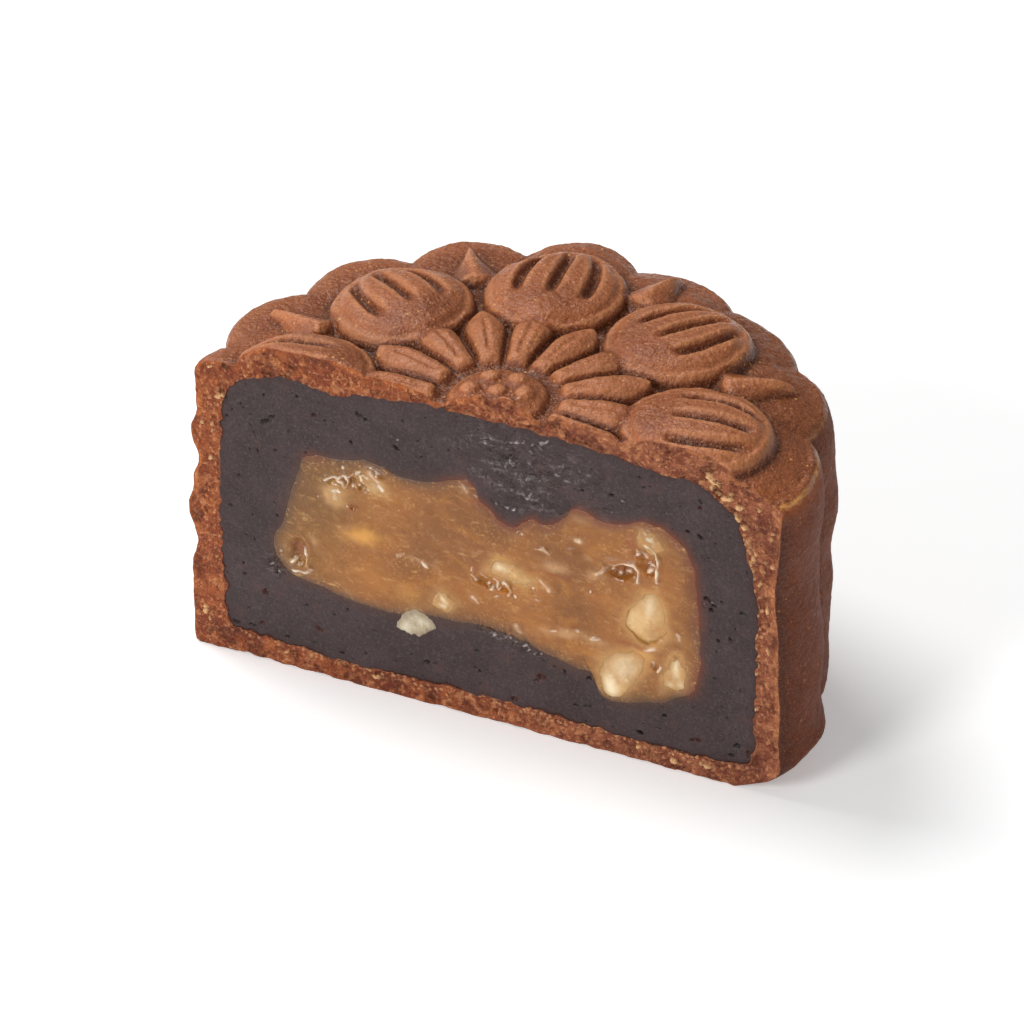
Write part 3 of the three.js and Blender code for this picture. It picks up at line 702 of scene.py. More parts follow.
# The cut edge: sharp at the walls, rounded and a little crumbled along the top
CRUMBLED_DEPTH, ROUNDED_DEPTH = 0.9, 0.5
behind = skin[..., 1] - CUT_Y
soft_edge = (0.12 + 0.10 * np.clip(noise(skin, 0.9, 51, 2), -1, 1)
             + 0.20 * np.clip(noise(skin, 2.6, 52), 0, 1))
edge_back = mix(0.03 + 0.03 * noise(skin, 0.8, 53, 2), soft_edge, upward)
skin[..., 1] += edge_back * np.clip(1 - behind / CRUMBLED_DEPTH, 0, 1)
round_down = mix(0.02, 0.10, upward) * np.clip(1 - behind / ROUNDED_DEPTH, 0, 1) ** 2
skin = skin - outward * (round_down * base_fade)[..., None]
skin[-1] = skin[-1].mean(0)
box_low, box_high = (np.array(corner) * 1000 - AXIS_SHIFT for corner in (low_corner, high_corner))
skin = np.clip(skin, box_low + [BOX_MARGIN, 0, 0], box_high - BOX_MARGIN)

crust = Shell()
skin_index = crust.grid(skin, hollow=hollow, crease=crease, worn=worn, warm=warm, shade=shade,
                        upward=upward, cusp=cusp)

# The base line of the cut: from the right foot to the left one, and a second line behind it
BASE_LINE_WIDTH = 1.3
to_middle = np.linspace(0, 1, BASE_STEPS + 1)
base_x = np.concatenate([mix(skin[0, 0, 0], 0, to_middle), mix(0, skin[0, -1, 0], to_middle)[1:]])
base_line = np.stack([base_x, np.full(len(base_x), CUT_Y), np.zeros(len(base_x))], -1)
base_line[:, 1] += 0.03 + 0.10 * np.clip(noise(base_line, 0.8, 61, 2), -0.3, 1)
base_line[:, 2] += np.clip(0.03 + 0.10 * noise(base_line, 1.3, 62, 2), 0, 1)
base_line[0], base_line[-1] = skin[0, 0], skin[0, -1]
inner_line = base_line.copy()
taper = np.minimum(1, 6 * np.minimum(np.linspace(0, 1, len(base_x)), np.linspace(1, 0, len(base_x))))
inner_line[:, 1] = mix(base_line[:, 1], CUT_Y + BASE_LINE_WIDTH, taper)
inner_line[1:-1, 2] = 0
base_index = crust.grid(np.stack([base_line, inner_line]))
base_loop = np.concatenate([skin_index[0][::-1], base_index[1]])

# The crumbly band on the cut, between the skin and the paste
outer_right = np.concatenate([base_line[BASE_STEPS::-1][:-1], skin[:, 0]])
outer_left = np.concatenate([base_line[BASE_STEPS:][:-1], skin[:, -1]])
outer_loop = np.concatenate([outer_right, outer_left[-2:0:-1]])
# Cream grains in the crumb: x, z, half width, half height, turn
CREAM_GRAINS = [
    (18.2, 26.85, 0.45, 0.22, -0.5), (18.1, 26.3, 0.2, 0.14, 0), (18.7, 25.75, 0.16, 0.1, 0.4),
    (19.3, 25.6, 0.24, 0.13, 0.1), (19.68, 25.8, 0.09, 0.3, 0), (20.45, 25.1, 0.26, 0.14, 0.2),
    (20.4, 24, 0.34, 0.13, -0.8), (20.85, 23.5, 0.13, 0.22, 0.3), (21.15, 24.1, 0.09, 0.18, -0.4),
    (22, 25.3, 0.08, 0.12, -0.3), (21.2, 22.2, 0.16, 0.2, 0.2), (21.3, 21.5, 0.13, 0.2, 0.5),
    (21.8, 21.5, 0.16, 0.18, 0), (23, 23, 0.12, 0.4, -0.15), (21.6, 20.8, 0.14, 0.26, 0.2),
    (22.4, 20.75, 0.22, 0.1, 0.4), (23.2, 20.6, 0.16, 0.14, 0), (22.5, 20, 0.14, 0.14, 0),
    (22.2, 18.8, 0.12, 0.18, 0), (22.9, 16.6, 0.1, 0.2, 0), (22.3, 10.9, 0.16, 0.12, 0),
    (23, 13.2, 0.1, 0.22, 0.1), (22.2, 7.6, 0.14, 0.1, 0.3), (21.9, 4.2, 0.12, 0.16, 0.2),
    (18.2, 1.2, 0.3, 0.12, -0.2), (15.6, 1, 0.22, 0.22, 0), (12.6, 1.3, 0.14, 0.1, 0),
    (6.1, 1.5, 0.14, 0.1, 0), (-22.65, 23.3, 0.2, 0.28, 0.2), (-20.5, 26.65, 0.28, 0.07, 0.1),
    (-23.4, 25.85, 0.16, 0.07, 0.1), (-23.5, 20.7, 0.1, 0.34, 0.1), (-23.4, 20.1, 0.12, 0.16, 0),
    (-24.3, 20.5, 0.12, 0.16, 0.5), (-23.6, 17.6, 0.16, 0.12, 0.4), (-23.6, 18.7, 0.08, 0.16, 0),
    (-24.4, 3.2, 0.26, 0.24, 0), (-24.2, 2.6, 0.14, 0.2, 0.3), (-24.1, 11.2, 0.12, 0.2, 0.2),
    (-23.3, 8.4, 0.12, 0.1, 0), (-17.4, 1.3, 0.14, 0.1, 0), (-9.6, 1.2, 0.18, 0.1, 0),
]


def crumb(points):
    """How far crumbs stand out of the cut, and how light each is."""
    near, next_near, label = cells(points, 0.62, 71)
    fine_near, fine_next, fine_label = cells(points, 0.34, 75)
    lump = (next_near - near) * mix(0.35, 1.0, label)
    fine = (fine_next - fine_near) * mix(0.3, 1.0, fine_label)
    stand = 0.24 * (lump - 0.28) + 0.20 * (fine - 0.28) + 0.10 * noise(points, 1.7, 79, 2)
    stand = np.where(label > 0.93, stand - 0.12, stand)
    return np.clip(stand, -0.36, 0.24), 0.55 * label + 0.45 * fine_label


band_flat = ring_rows(outer_loop[:, [0, 2]], CRUST_PASTE, BAND_ROWS)
band = on_cut(band_flat, 0.0)
band_x, band_z = band_flat[..., 0], band_flat[..., 1]
stand, light = crumb(band)
from_outside = gap(band_flat, outer_loop[:, [0, 2]])
from_inside = gap(band_flat, CRUST_PASTE)
# Cream grains lie along the paste at the upper right and along the bottom
grainy = np.clip(smoothstep(band_x, 9, 17) * smoothstep(band_z, 8, 14)
                 + (1 - smoothstep(band_z, 1.6, 2.6)), 0.25, 1)
stand = mix(grainy * np.clip(stand + 0.06, 0, 0.22), stand, smoothstep(from_inside, 0, 0.30))
lip = 1 - smoothstep(from_inside, 0, 0.5)
grain = 0.8 * grainy * (1 - smoothstep(from_inside + 0.35 * noise(band, 1.4, 78, 2), 0.1, 1.2))
cream_waver = 0.9 * noise(band, 0.24, 77)
cream = np.maximum.reduce([1 - smoothstep(blob(band, *oval) + cream_waver, 0.70, 1.15)
                           for oval in CREAM_GRAINS])
stand = mix(stand, 0.20, 0.8 * cream)
band[..., 1] = mix(outer_loop[None, :, 1], CUT_Y - stand, smoothstep(from_outside, 0, 0.30))
brim = 1 - smoothstep(from_outside + 0.16 * noise(band, 0.8, 76, 2), 0.18, 0.56)
brim *= smoothstep(band_z, 0.8, 3.0) * np.clip(0.75 + 0.9 * noise(band, 1.3, 74, 2), 0, 1)
crust.grid(band, around=True, cut=1.0, light=light, stand=stand, lip=lip, grain=grain, cream=cream,
           tan=smoothstep(band_x, -6, 12), brim=brim, upward=1.0, cusp=1.0)

# The hollow behind the paste
crust.grid(loft(CRUST_PASTE, band[-1, :, 1] - CUT_Y, PASTE_REACH), cut=1.0, light=0.3, upward=1.0, cusp=1.0)
crust_piece = crust.build("crust_baked", loops=[base_loop])

# Bean paste, with small pits strewn over it
SPOT_TRIES, SPOTS_KEPT = 900, 150
random = np.random.default_rng(5)
spot_x = random.uniform(-22.8, 22.0, SPOT_TRIES)
spot_z = random.uniform(2.0, 27.2, SPOT_TRIES)
held = (inside_outline(spot_x, spot_z, PASTE_LOOP[::4])
        & ~inside_outline(spot_x, spot_z, moved_out(CORE_LOOP, 0.3)[::4]))
spot_x, spot_z = spot_x[held][:SPOTS_KEPT], spot_z[held][:SPOTS_KEPT]
spot_radius = 0.04 + 0.07 * random.random(len(spot_x)) ** 3
spot_stretch = 1 + 2.0 * random.random(len(spot_x)) ** 2
spot_turn = random.uniform(-1.2, 0.2, len(spot_x))
PASTE_SPOTS = list(zip(spot_x, spot_z, spot_radius, spot_stretch, spot_turn))
# Pits and short cracks that stand out: x, z, radius, stretch, turn
PASTE_PITS = [
    (-18.9, 22.1, 0.2, 2, 0.5), (-18.4, 22.6, 0.12, 1.4, 0.1), (-15.4, 20.2, 0.17, 1.5, 0.9),
    (-18, 19.7, 0.1, 1, 0), (-21.2, 16.7, 0.1, 1.4, 0), (-10.8, 24.7, 0.2, 1.5, -0.4),
    (-10.4, 24.5, 0.12, 1.2, 0), (-20.9, 23.1, 0.08, 1, 0), (-19, 24.4, 0.1, 1.3, 0.4),
    (-7.7, 22.6, 0.13, 2.8, -0.6), (-7.2, 22.2, 0.1, 1.8, -0.9), (-20.7, 11.3, 0.08, 1, 0),
    (-21, 7.6, 0.1, 1.2, 0), (-15.6, 6.2, 0.1, 1.3, 0), (-20.5, 2.9, 0.14, 1.6, 0),
    (-21.9, 2.8, 0.16, 1.3, 0), (-17.3, 2.7, 0.11, 1.8, 0), (-15, 2.8, 0.11, 1.2, 0),
    (-12.6, 2.6, 0.13, 1.6, 0.2), (-5.3, 3.8, 0.17, 2.2, 0.5), (-4.6, 3.9, 0.1, 1.4, 0),
    (-9.1, 3.3, 0.09, 1, 0), (-1, 6.2, 0.1, 1.2, 0), (-1.2, 4.6, 0.08, 1, 0), (12.7, 2.6, 0.14, 1.7, 0),
    (20.6, 3.7, 0.2, 1.2, 0.6), (20.2, 2.7, 0.13, 1.8, 0), (18, 16.2, 0.2, 1.4, -0.3),
    (18.3, 15.4, 0.15, 1.1, 0), (20.9, 15.8, 0.11, 2.2, 0.3), (19.9, 13.3, 0.11, 1.7, -0.6),
    (20.3, 14.3, 0.08, 2.4, 1), (17.3, 21.6, 0.11, 2.4, -0.5), (10.1, 23.4, 0.12, 1.4, 0),
    (16.3, 21.8, 0.11, 1.6, -0.2), (18.7, 9.4, 0.08, 1.2, 0), (18, 20, 0.09, 1.5, 0),
    (14.6, 4.7, 0.12, 1.5, 0), (8.4, 6.4, 0.15, 1.4, 0.4),
]
REDDISH_PITS = [
    (-14.7, 23.7, 0.16, 1.3, 0.3), (-19.2, 6.3, 0.22, 1.4, 0.9), (-14.5, 4.2, 0.2, 1.5, -0.6),
    (-19.6, 3.3, 0.15, 1.5, 0.2), (4.4, 5.3, 0.26, 1.2, 0.3), (4, 4.9, 0.13, 1.4, 0.8),
    (2.1, 2.6, 0.18, 1.6, 0), (17.5, 3.3, 0.22, 1.4, 0.1), (17, 3.1, 0.12, 1.3, 0),
    (21.6, 3.4, 0.2, 1.2, 1.2), (19.5, 3.9, 0.12, 1.2, 0), (17.2, 24.2, 0.12, 1.3, 0.4),
]
# Moist glints on torn paste: a path of (x, z) points and its half width
PASTE_GLINTS = [
    ([(-0.6, 25.4), (0.1, 25.8), (1.2, 25.5), (2, 25.7), (2.9, 26.05)], 0.11),
    ([(3.6, 26), (4.2, 26.3), (4.9, 26.6)], 0.09), ([(-0.5, 25.2), (0.6, 25.1), (1.6, 25.1)], 0.08),
    ([(-1.35, 25.55), (-1.25, 25.55)], 0.09), ([(1.75, 24.2), (1.8, 24)], 0.1),
    ([(-0.7, 22.3), (-0.4, 22.1), (-0.1, 22.2)], 0.08), ([(1.85, 21.6), (1.95, 21.6)], 0.1),
    ([(2.3, 21.3), (2.8, 21.5), (3.2, 21.1), (3.5, 21.6)], 0.07), ([(3.3, 24.3), (3.7, 24)], 0.07),
    ([(5.3, 23.9), (5.9, 23.8)], 0.06), ([(6.1, 20.4), (6.3, 20.5)], 0.09),
    ([(8.5, 22.7), (8.6, 22.7)], 0.08), ([(9, 21.9), (9.6, 22), (10.3, 21.9)], 0.06),
    ([(11, 23.1), (11.15, 23.1)], 0.09), ([(4.9, 22), (5.5, 22.4)], 0.06),
    ([(0.9, 23.6), (1.5, 23.5)], 0.06), ([(-0.7, 8.4), (-0.6, 8.3)], 0.1),
    ([(0, 7.9), (0.2, 8.2), (0.5, 8), (0.3, 7.8)], 0.08), ([(1.4, 8.1), (1.7, 8.5), (1.9, 8.2)], 0.09),
    ([(2.1, 7.8), (2.4, 8)], 0.1), ([(2.9, 7.7), (3.2, 7.9), (3.4, 7.5), (3.1, 7.3)], 0.09),
    ([(3.8, 7.2), (4, 7.5)], 0.08), ([(4.2, 7.3), (4.4, 7.4)], 0.1), ([(-18.7, 9.2), (-18.2, 9.5)], 0.11),
    ([(-18, 8.7), (-17.8, 8.6), (-17.6, 8.4)], 0.11), ([(18.3, 16.2), (18.5, 16)], 0.08),
    ([(17.7, 15.8), (17.8, 15.5)], 0.07), ([(12.1, 23), (12.5, 22.7)], 0.07),
    ([(-8.2, 23.6), (-7.6, 23.4)], 0.06), ([(0.3, 20.2), (1, 19.9), (2.4, 19.9)], 0.05),
]

paste_flat = ring_rows(CRUST_PASTE, PASTE_CORE, PASTE_ROWS)
paste_face = on_cut(paste_flat, 0.0)
paste_pits = pit_field(paste_face, PASTE_SPOTS + PASTE_PITS + REDDISH_PITS)
reddish = pit_field(paste_face, [(x, z, 1.5 * r, stretch, turn) for x, z, r, stretch, turn in REDDISH_PITS])
# Puckered, torn patches: above the middle of the core, under its lower edge and by its left end
puckered = np.clip(patch(paste_face, 4.0, 24.2, 5.2, 2.4, -0.12) + patch(paste_face, 3.0, 21.6, 2.6, 1.4)
                   + 1.3 * patch(paste_face, 2.2, 7.8, 2.6, 0.5, -0.18)
                   + 1.2 * patch(paste_face, -18.4, 9.1, 0.8, 0.9, 0.8), 0, 1)
tear = noise(paste_face * [0.8, 1, 1.3], 0.8, 81, 3)
drag = noise(paste_face * [0.45, 1, 1.5], 0.9, 83, 2)
paste_wave = (0.09 * noise(paste_face, 5.5, 84) + 0.035 * noise(paste_face, 1.6, 85, 2)
              + 0.018 * noise(paste_face, 0.42, 86, 2))
torn_ridge = np.clip(1 - 3.5 * np.abs(tear), 0, 1)
glint = 0.55 * puckered * torn_ridge ** 3 * smoothstep(drag, 0.15, 0.55)
paste_stand = (paste_wave + puckered * (0.15 * torn_ridge * np.clip(0.4 + drag, 0, 1) + 0.10 * drag)
               - 0.26 * paste_pits)
glint_waver = 0.06 * noise(paste_face, 0.28, 88)
glint_share = np.clip(0.35 + 1.0 * noise(paste_face, 0.26, 89, 2), 0, 1)
for path, half_width in PASTE_GLINTS:
    away = (path_distance(paste_face, path) + glint_waver) / (0.75 * half_width)
    paste_stand += 0.10 * hill(away, 1.2) - 0.09 * hill(away - 2.4, 0.9)
    glint = np.maximum(glint, hill(away) * glint_share)
near_crust = gap(paste_flat, CRUST_PASTE)
near_core = gap(paste_flat, PASTE_CORE)
paste_face[..., 1] = CUT_Y + 0.02 - paste_stand + 0.03 * np.exp(-near_crust / 0.18)
# The gel stains the paste where its border faces up or to the right
facing = unit(PASTE_CORE - PASTE_CORE.mean(0))
stained = np.clip(0.25 + 0.9 * facing[:, 1] + 0.45 * facing[:, 0]
                  + 0.5 * loop_noise(PASTE_CORE, 3.0, 23), 0, 1)[None]
paste_marks = dict(pit=paste_pits, stain=stained * np.exp(-(near_core / 0.36) ** 1.3),
                   pucker=puckered, glint=glint, seep=np.exp(-(near_core / 0.50) ** 1.2),
                   rim=np.exp(-(near_crust / 0.45) ** 1.4), red=reddish)
paste = Shell()
filled_face(paste, paste_face, CRUST_PASTE, paste_marks, PASTE_REACH, PASTE_RIM_DEPTH)
paste.grid(loft(PASTE_CORE, paste_face[-1, :, 1] - CUT_Y, CORE_REACH))
paste_piece = paste.build("paste_filling")

# Nut pieces: outline on the cut, depth behind it and how far they stand out of it
NUTS = {
    "nut_1": ([(9.15, 7), (9.4, 8.3), (10.5, 9.4), (12, 10), (13.4, 9.7), (12.9, 8.2), (12, 6.6),
        (11.1, 5.25), (10.3, 4.8), (9.4, 5.3)], 3.4, 0.2),
    "nut_2": ([(11.2, 12), (11.3, 13.5), (12.3, 14.5), (12.7, 15.4), (13.8, 15.8), (14.5, 14.6),
        (14.9, 12.3), (14.2, 11), (13.2, 10.4), (11.9, 11.2)], 2.8, 0.18),
    "nut_3": ([(14.5, 7.4), (14.9, 9.3), (15.3, 10.6), (15.9, 10.5), (16.3, 9), (16.5, 7.5), (15.6, 7.1)],
        2.2, 0.12),
    "nut_4": ([(-8, 6.3), (-7.4, 7.4), (-6.3, 8.4), (-4.9, 8), (-4.5, 7.3), (-5.8, 6.3), (-6.8, 5.5)],
        2.2, 0.2),
    "nut_5": ([(-4.6, 9.5), (-4.1, 10.6), (-3, 9.9), (-3.5, 9.1)], 1.4, 0.12),
    "nut_6": ([(-0.2, 13.8), (0.5, 15), (1.7, 14.9), (3.9, 13.9), (3.1, 13.3), (1.2, 13.5)], 1.8, 0.12),
    "nut_7": ([(12.3, 20), (12.7, 20.9), (13.6, 20.7), (14.2, 19.7), (13.4, 19.1)], 1.6, 0),
    "nut_8": ([(-10.8, 19.2), (-9.9, 19.8), (-8.9, 19.3), (-8.7, 18.3), (-9.9, 18.2)], 1.8, 0),
    "nut_9": ([(-13.8, 17.1), (-13.1, 18), (-12.2, 17.4), (-12.5, 16.3), (-13.5, 16.3)], 1.5, 0),
}
COVERED_NUTS = ("nut_7", "nut_8", "nut_9")
# Painted highlights on the nut pieces and pale patches of the covered ones, and amber places: x, z, half
# width, half height, turn, strength
NUT_GLOWS = [
    (10.2, 6.1, 0.7, 1.3, 0.15, 1), (11.3, 8.2, 1.2, 1.2, 0, 0.5), (13.35, 14.3, 0.42, 1.05, -0.05, 0.6),
    (12.2, 12.9, 0.8, 0.9, 0, 0.15), (13.6, 15.1, 0.5, 0.5, 0, 0.25), (15.5, 9.6, 0.4, 1.1, 0, 0.7),
    (16.1, 7.9, 0.5, 0.5, 0, 0.6), (15, 7.7, 0.5, 0.4, 0, 0.5), (-7.2, 6.8, 0.8, 0.8, 0.5, 0.7),
    (-5.6, 7.6, 0.5, 0.4, 0, 0.6), (-3.9, 10.2, 0.6, 0.25, -0.5, 0.9), (-3.9, 9.5, 0.6, 0.25, 0.1, 0.7),
    (0.8, 14.4, 0.8, 0.4, 0, 0.7), (13.2, 20.4, 0.5, 0.6, 0, 0.7), (-9.6, 19.7, 0.4, 0.45, 0.7, 0.9),
    (-9, 18.9, 0.35, 0.4, 0, 0.8), (-13.1, 17.4, 0.5, 0.16, 0, 1), (-13.3, 16.7, 0.5, 0.5, 0, 0.5),
]
NUT_AMBER = [
    (13.1, 9.5, 0.9, 0.55, -0.3, 1), (14.4, 12.4, 0.4, 0.5, 0, 0.5), (11.9, 11.4, 0.7, 0.35, -0.1, 0.8),
    (12.6, 7.9, 0.35, 0.9, -0.4, 0.6),
]

# Gel core. Wet hollows left by torn-out bits: x, z, half width, half height, turn, depth
CORE_HOLLOWS = [
    (-16.2, 11, 0.95, 1.35, 0.1, 0.34), (11, 16.9, 1.65, 0.75, 0.15, 0.3),
    (13.1, 18.3, 0.85, 1.35, 0.12, 0.28), (0.2, 12.7, 1.75, 0.55, -0.1, 0.22),
    (-12.2, 18.6, 1.5, 0.5, 0.28, 0.2), (-10.4, 18.4, 0.65, 0.38, 0, 0.16),
    (-5.4, 8.3, 0.5, 0.25, 0.2, 0.35), (13.8, 9, 0.45, 0.4, -0.6, 0.25), (-11.5, 16.3, 0.35, 0.3, 0, 0.12),
    (2.1, 18.7, 1.3, 0.8, -0.3, 0.18),
]
# Soft lumps under the gel: x, z, half width, half height, turn, how far they stand out
CORE_LUMPS = [
    (-9.4, 19.4, 1.2, 0.8, -0.6, 0.2), (-13.1, 16.9, 0.8, 0.9, 0.1, 0.2), (13.3, 20.5, 0.9, 1, -0.4, 0.2),
    (-10.5, 14, 2.2, 1.2, 0, 0.1), (6.2, 16.6, 2.4, 1.3, -0.2, 0.14), (-3, 16.6, 3.4, 1.6, 0.1, 0.08),
    (4.8, 11.8, 3.4, 1.6, 0, 0.1), (-12.6, 12.5, 2, 1.4, 0.5, 0.08), (5.5, 15.7, 1.3, 0.6, 0.05, 0.12),
    (8.8, 15.9, 0.8, 0.5, 0.6, 0.14),
]
# Crests of torn gel: a path of (x, z) points, its half width and how far it stands out
CORE_CRESTS = [
    ([(9, 16.2), (10, 17), (11, 17.5), (12, 17.7), (12.4, 17.3), (12.35, 16.3)], 0.17, 0.21),
    ([(12.9, 19.6), (13.5, 19.3), (13.95, 18.7), (13.95, 18.1), (13.8, 17.5), (13.95, 16.8)], 0.16, 0.21),
    ([(13.1, 18), (13.9, 17.95)], 0.1, 0.16), ([(12.2, 19.1), (12.6, 18.9), (12.9, 18.5)], 0.1, 0.14),
    ([(-15.8, 11.1), (-15.55, 10.6), (-15.45, 9.9), (-15.2, 9.7)], 0.14, 0.2),
    ([(-16.7, 9.1), (-16.2, 9.25), (-15.7, 9.15), (-15.4, 9.4)], 0.16, 0.18),
    ([(-16.8, 9.9), (-16.5, 10.2)], 0.13, 0.12), ([(-7.7, 13), (-7.1, 13.2)], 0.12, 0.1),
    ([(-6.4, 13.3), (-6, 13)], 0.12, 0.12), ([(-5.7, 12.9), (-5.2, 12.5)], 0.12, 0.12),
    ([(-13.8, 18.25), (-13.2, 18.6), (-12.7, 18.65), (-12.3, 18.95), (-12.1, 18.8)], 0.14, 0.2),
    ([(-12.9, 18.35), (-12.4, 18.3), (-12.15, 18.1)], 0.11, 0.16),
    ([(-12, 18.95), (-11.85, 18.5), (-12, 18)], 0.11, 0.2), ([(-11.75, 18.95), (-11.45, 19.3)], 0.1, 0.16),
    ([(-11.1, 19.55), (-10.8, 19.75)], 0.1, 0.15),
    ([(-10.7, 19), (-10.75, 19.35), (-10.45, 19.6), (-10.2, 19.35)], 0.1, 0.17),
    ([(-13.5, 17.4), (-13.1, 17.55), (-12.6, 17.45)], 0.13, 0.17),
    ([(-9.9, 20.1), (-9.6, 19.6), (-9.3, 19.3)], 0.2, 0.12), ([(-9.2, 18.9), (-8.9, 18.7)], 0.2, 0.12),
    ([(3.9, 16.9), (4.6, 17.1), (5.1, 16.7)], 0.12, 0.1),
    ([(4.3, 14.1), (4.8, 13.8), (5, 13.4)], 0.18, 0.14), ([(-0.6, 13.3), (-0.35, 12.95)], 0.16, 0.18),
    ([(0.35, 13.1), (0.65, 12.9), (0.6, 12.4)], 0.12, 0.16),
    ([(1.1, 12.8), (1.3, 13.1), (1.6, 12.9), (1.85, 12.5), (1.65, 12)], 0.14, 0.2),
    ([(-1.4, 13.1), (-1.1, 12.7)], 0.1, 0.12), ([(0.9, 11.75), (0.6, 11.6)], 0.09, 0.1),
    ([(-1.4, 10.9), (-1, 10.6)], 0.16, 0.1), ([(2.3, 9.3), (2.6, 9)], 0.22, 0.12),
    ([(5.2, 9.8), (5.7, 10)], 0.14, 0.09), ([(6.6, 10.3), (7, 10.6), (7.4, 10.4)], 0.13, 0.1),
    ([(8.6, 10.1), (9.2, 10.2)], 0.12, 0.08), ([(-2.2, 20.9), (-1.8, 20.4)], 0.16, 0.1),
    ([(-1.2, 20.3), (-1, 20.2)], 0.12, 0.1), ([(13.7, 9.3), (13.6, 8.8)], 0.11, 0.17),
    ([(14.3, 9.1), (14.1, 8.7)], 0.1, 0.17), ([(12.6, 21), (12.9, 20.8)], 0.16, 0.12),
    ([(7.2, 18.5), (7.5, 18.5)], 0.2, 0.1), ([(13, 10.2), (13.4, 10.4), (13.7, 10.6)], 0.16, 0.12),
    ([(15.7, 12.4), (15.8, 12)], 0.14, 0.1),
]
# Small wet grains: x, z, radius
CORE_BUBBLES = [
    (-11.4, 18.3, 0.15), (-11.15, 18.25, 0.12), (-10.85, 18.5, 0.16), (-10.6, 18.2, 0.15),
    (-10.5, 18.7, 0.14), (-10.2, 18.25, 0.14), (-9.6, 18.45, 0.12), (-12.25, 19.7, 0.15),
    (-11.9, 16.3, 0.14), (-0.1, 12.5, 0.17), (0.2, 12.2, 0.15), (-1.5, 13.4, 0.12), (2.2, 12.1, 0.15),
    (11.5, 16.8, 0.24), (10.8, 16.6, 0.18), (12, 16.6, 0.15), (13.35, 17.45, 0.26), (12.3, 18.7, 0.2),
    (10.2, 16.8, 0.15), (-16, 10, 0.14), (-17.8, 10.6, 0.16), (-18.2, 10.9, 0.13), (3.7, 13.3, 0.12),
    (-14.5, 16.5, 0.12), (8.5, 14.3, 0.12),
]
# Tints: x, z, half width, half height, turn, strength
GOLDEN_GLOWS = [
    (-10.7, 13.9, 1.7, 0.75, 0.05, 1), (-6.8, 9.8, 1.3, 0.9, 0, 0.45), (13, 9.9, 0.8, 0.4, -0.2, 1),
    (0.9, 15.2, 0.8, 0.3, 0, 0.5), (-16, 10.2, 0.5, 0.5, 0, 0.3),
]
CARAMEL = [
    (12, 10.4, 1.7, 0.3, -0.1, 0.9), (7.1, 10.75, 0.4, 0.2, 0.3, 0.8), (17.4, 12.9, 0.28, 0.6, 0, 1.2),
    (11.9, 19.4, 0.9, 1.2, 0, 0.75), (1.6, 13.5, 0.8, 0.2, 0.05, 0.9), (-1.2, 13.7, 0.7, 0.3, 0, 0.7),
    (-16.2, 11.3, 0.7, 1, 0, 0.7), (5.4, 14.95, 1.9, 0.16, 0.03, 0.7), (2, 18.9, 1.2, 0.7, 0, 1.3),
    (-0.9, 19.8, 0.7, 0.7, 0, 0.8), (8.5, 14.3, 0.5, 0.3, 0, 0.5), (11.8, 11.5, 0.7, 0.2, -0.1, 0.8),
    (-11.7, 16.3, 0.3, 0.3, 0, 0.6), (-5.2, 8.2, 0.5, 0.2, 0.2, 1), (13.1, 17.9, 0.5, 0.7, 0, 0.5),
    (14.2, 5.7, 0.6, 0.2, 0, 0.7), (11, 16.7, 1.2, 0.4, 0.1, 0.45), (-14.5, 16.5, 0.25, 0.2, 0, 0.5),
]
PALE_HAZE = [
    (5.5, 15.7, 1.2, 0.55, 0.05, 0.75), (8.8, 9.9, 1.4, 0.35, 0.02, 0.6), (14.4, 6.8, 0.4, 0.35, 0, 0.5),
    (8.8, 15.9, 0.9, 0.5, 0.6, 0.65), (7.5, 18.5, 0.35, 0.25, 0, 0.8), (-1.3, 10.8, 0.45, 0.35, 0, 0.7),
    (-12.2, 8.4, 0.5, 0.35, 0, 0.4), (6.4, 9.9, 1.9, 0.45, 0.18, 0.7), (4.7, 13.8, 0.7, 0.3, -0.5, 0.6),
    (2.6, 8.9, 0.6, 0.35, -0.1, 0.5), (-6.2, 13, 1.5, 0.22, -0.15, 0.5), (-2, 20.7, 0.6, 0.5, 0, 0.5),
    (7.8, 20.6, 1, 0.4, 0.1, 0.55), (15.7, 11.9, 0.5, 0.5, 0, 0.4), (4.6, 16.9, 0.6, 0.14, 0, 0.6),
    (8.3, 17.2, 0.5, 0.25, 0, 0.5), (-14.9, 12.3, 0.3, 0.5, 0.3, 0.6), (-13.2, 16.9, 0.7, 0.8, 0, 1),
    (-9.5, 19.5, 1, 0.45, -0.7, 1), (13.3, 20.6, 0.6, 0.9, 0.3, 0.95), (15.5, 8.5, 1.6, 1.8, 0, 0.25),
    (-4, 9.9, 0.9, 0.8, 0, 0.4), (9.5, 8.8, 0.8, 1.2, 0, 0.25),
]
OLIVE = [(12.9, 5.9, 1.7, 0.8, 0.25, 1.3)]
SPINE_HALF = 10.5
SPINE_HEIGHT = 0.22
SPINE_LEVEL = 13.6

spine_turn = np.linspace(0, math.pi, HALF_STEPS + 1)
spine_half = np.stack([SPINE_HALF * np.sin(spine_turn), SPINE_LEVEL - SPINE_HEIGHT * np.cos(spine_turn)], -1)
core_flat = ring_rows(PASTE_CORE, loop_of(spine_half, spine_half), CORE_ROWS)
core_face = on_cut(core_flat, 0.0)
core_x, core_z = core_flat[..., 0], core_flat[..., 1]
wet = np.zeros(core_face.shape[:-1])
gleam = np.zeros(core_face.shape[:-1])
core_stand = (0.10 * noise(core_face * [0.8, 1, 1.1], 3.6, 91, 2) + 0.045 * noise(core_face, 1.3, 92, 2)
              + 0.022 * noise(core_face * [0.7, 1, 1.2], 0.5, 93, 2))
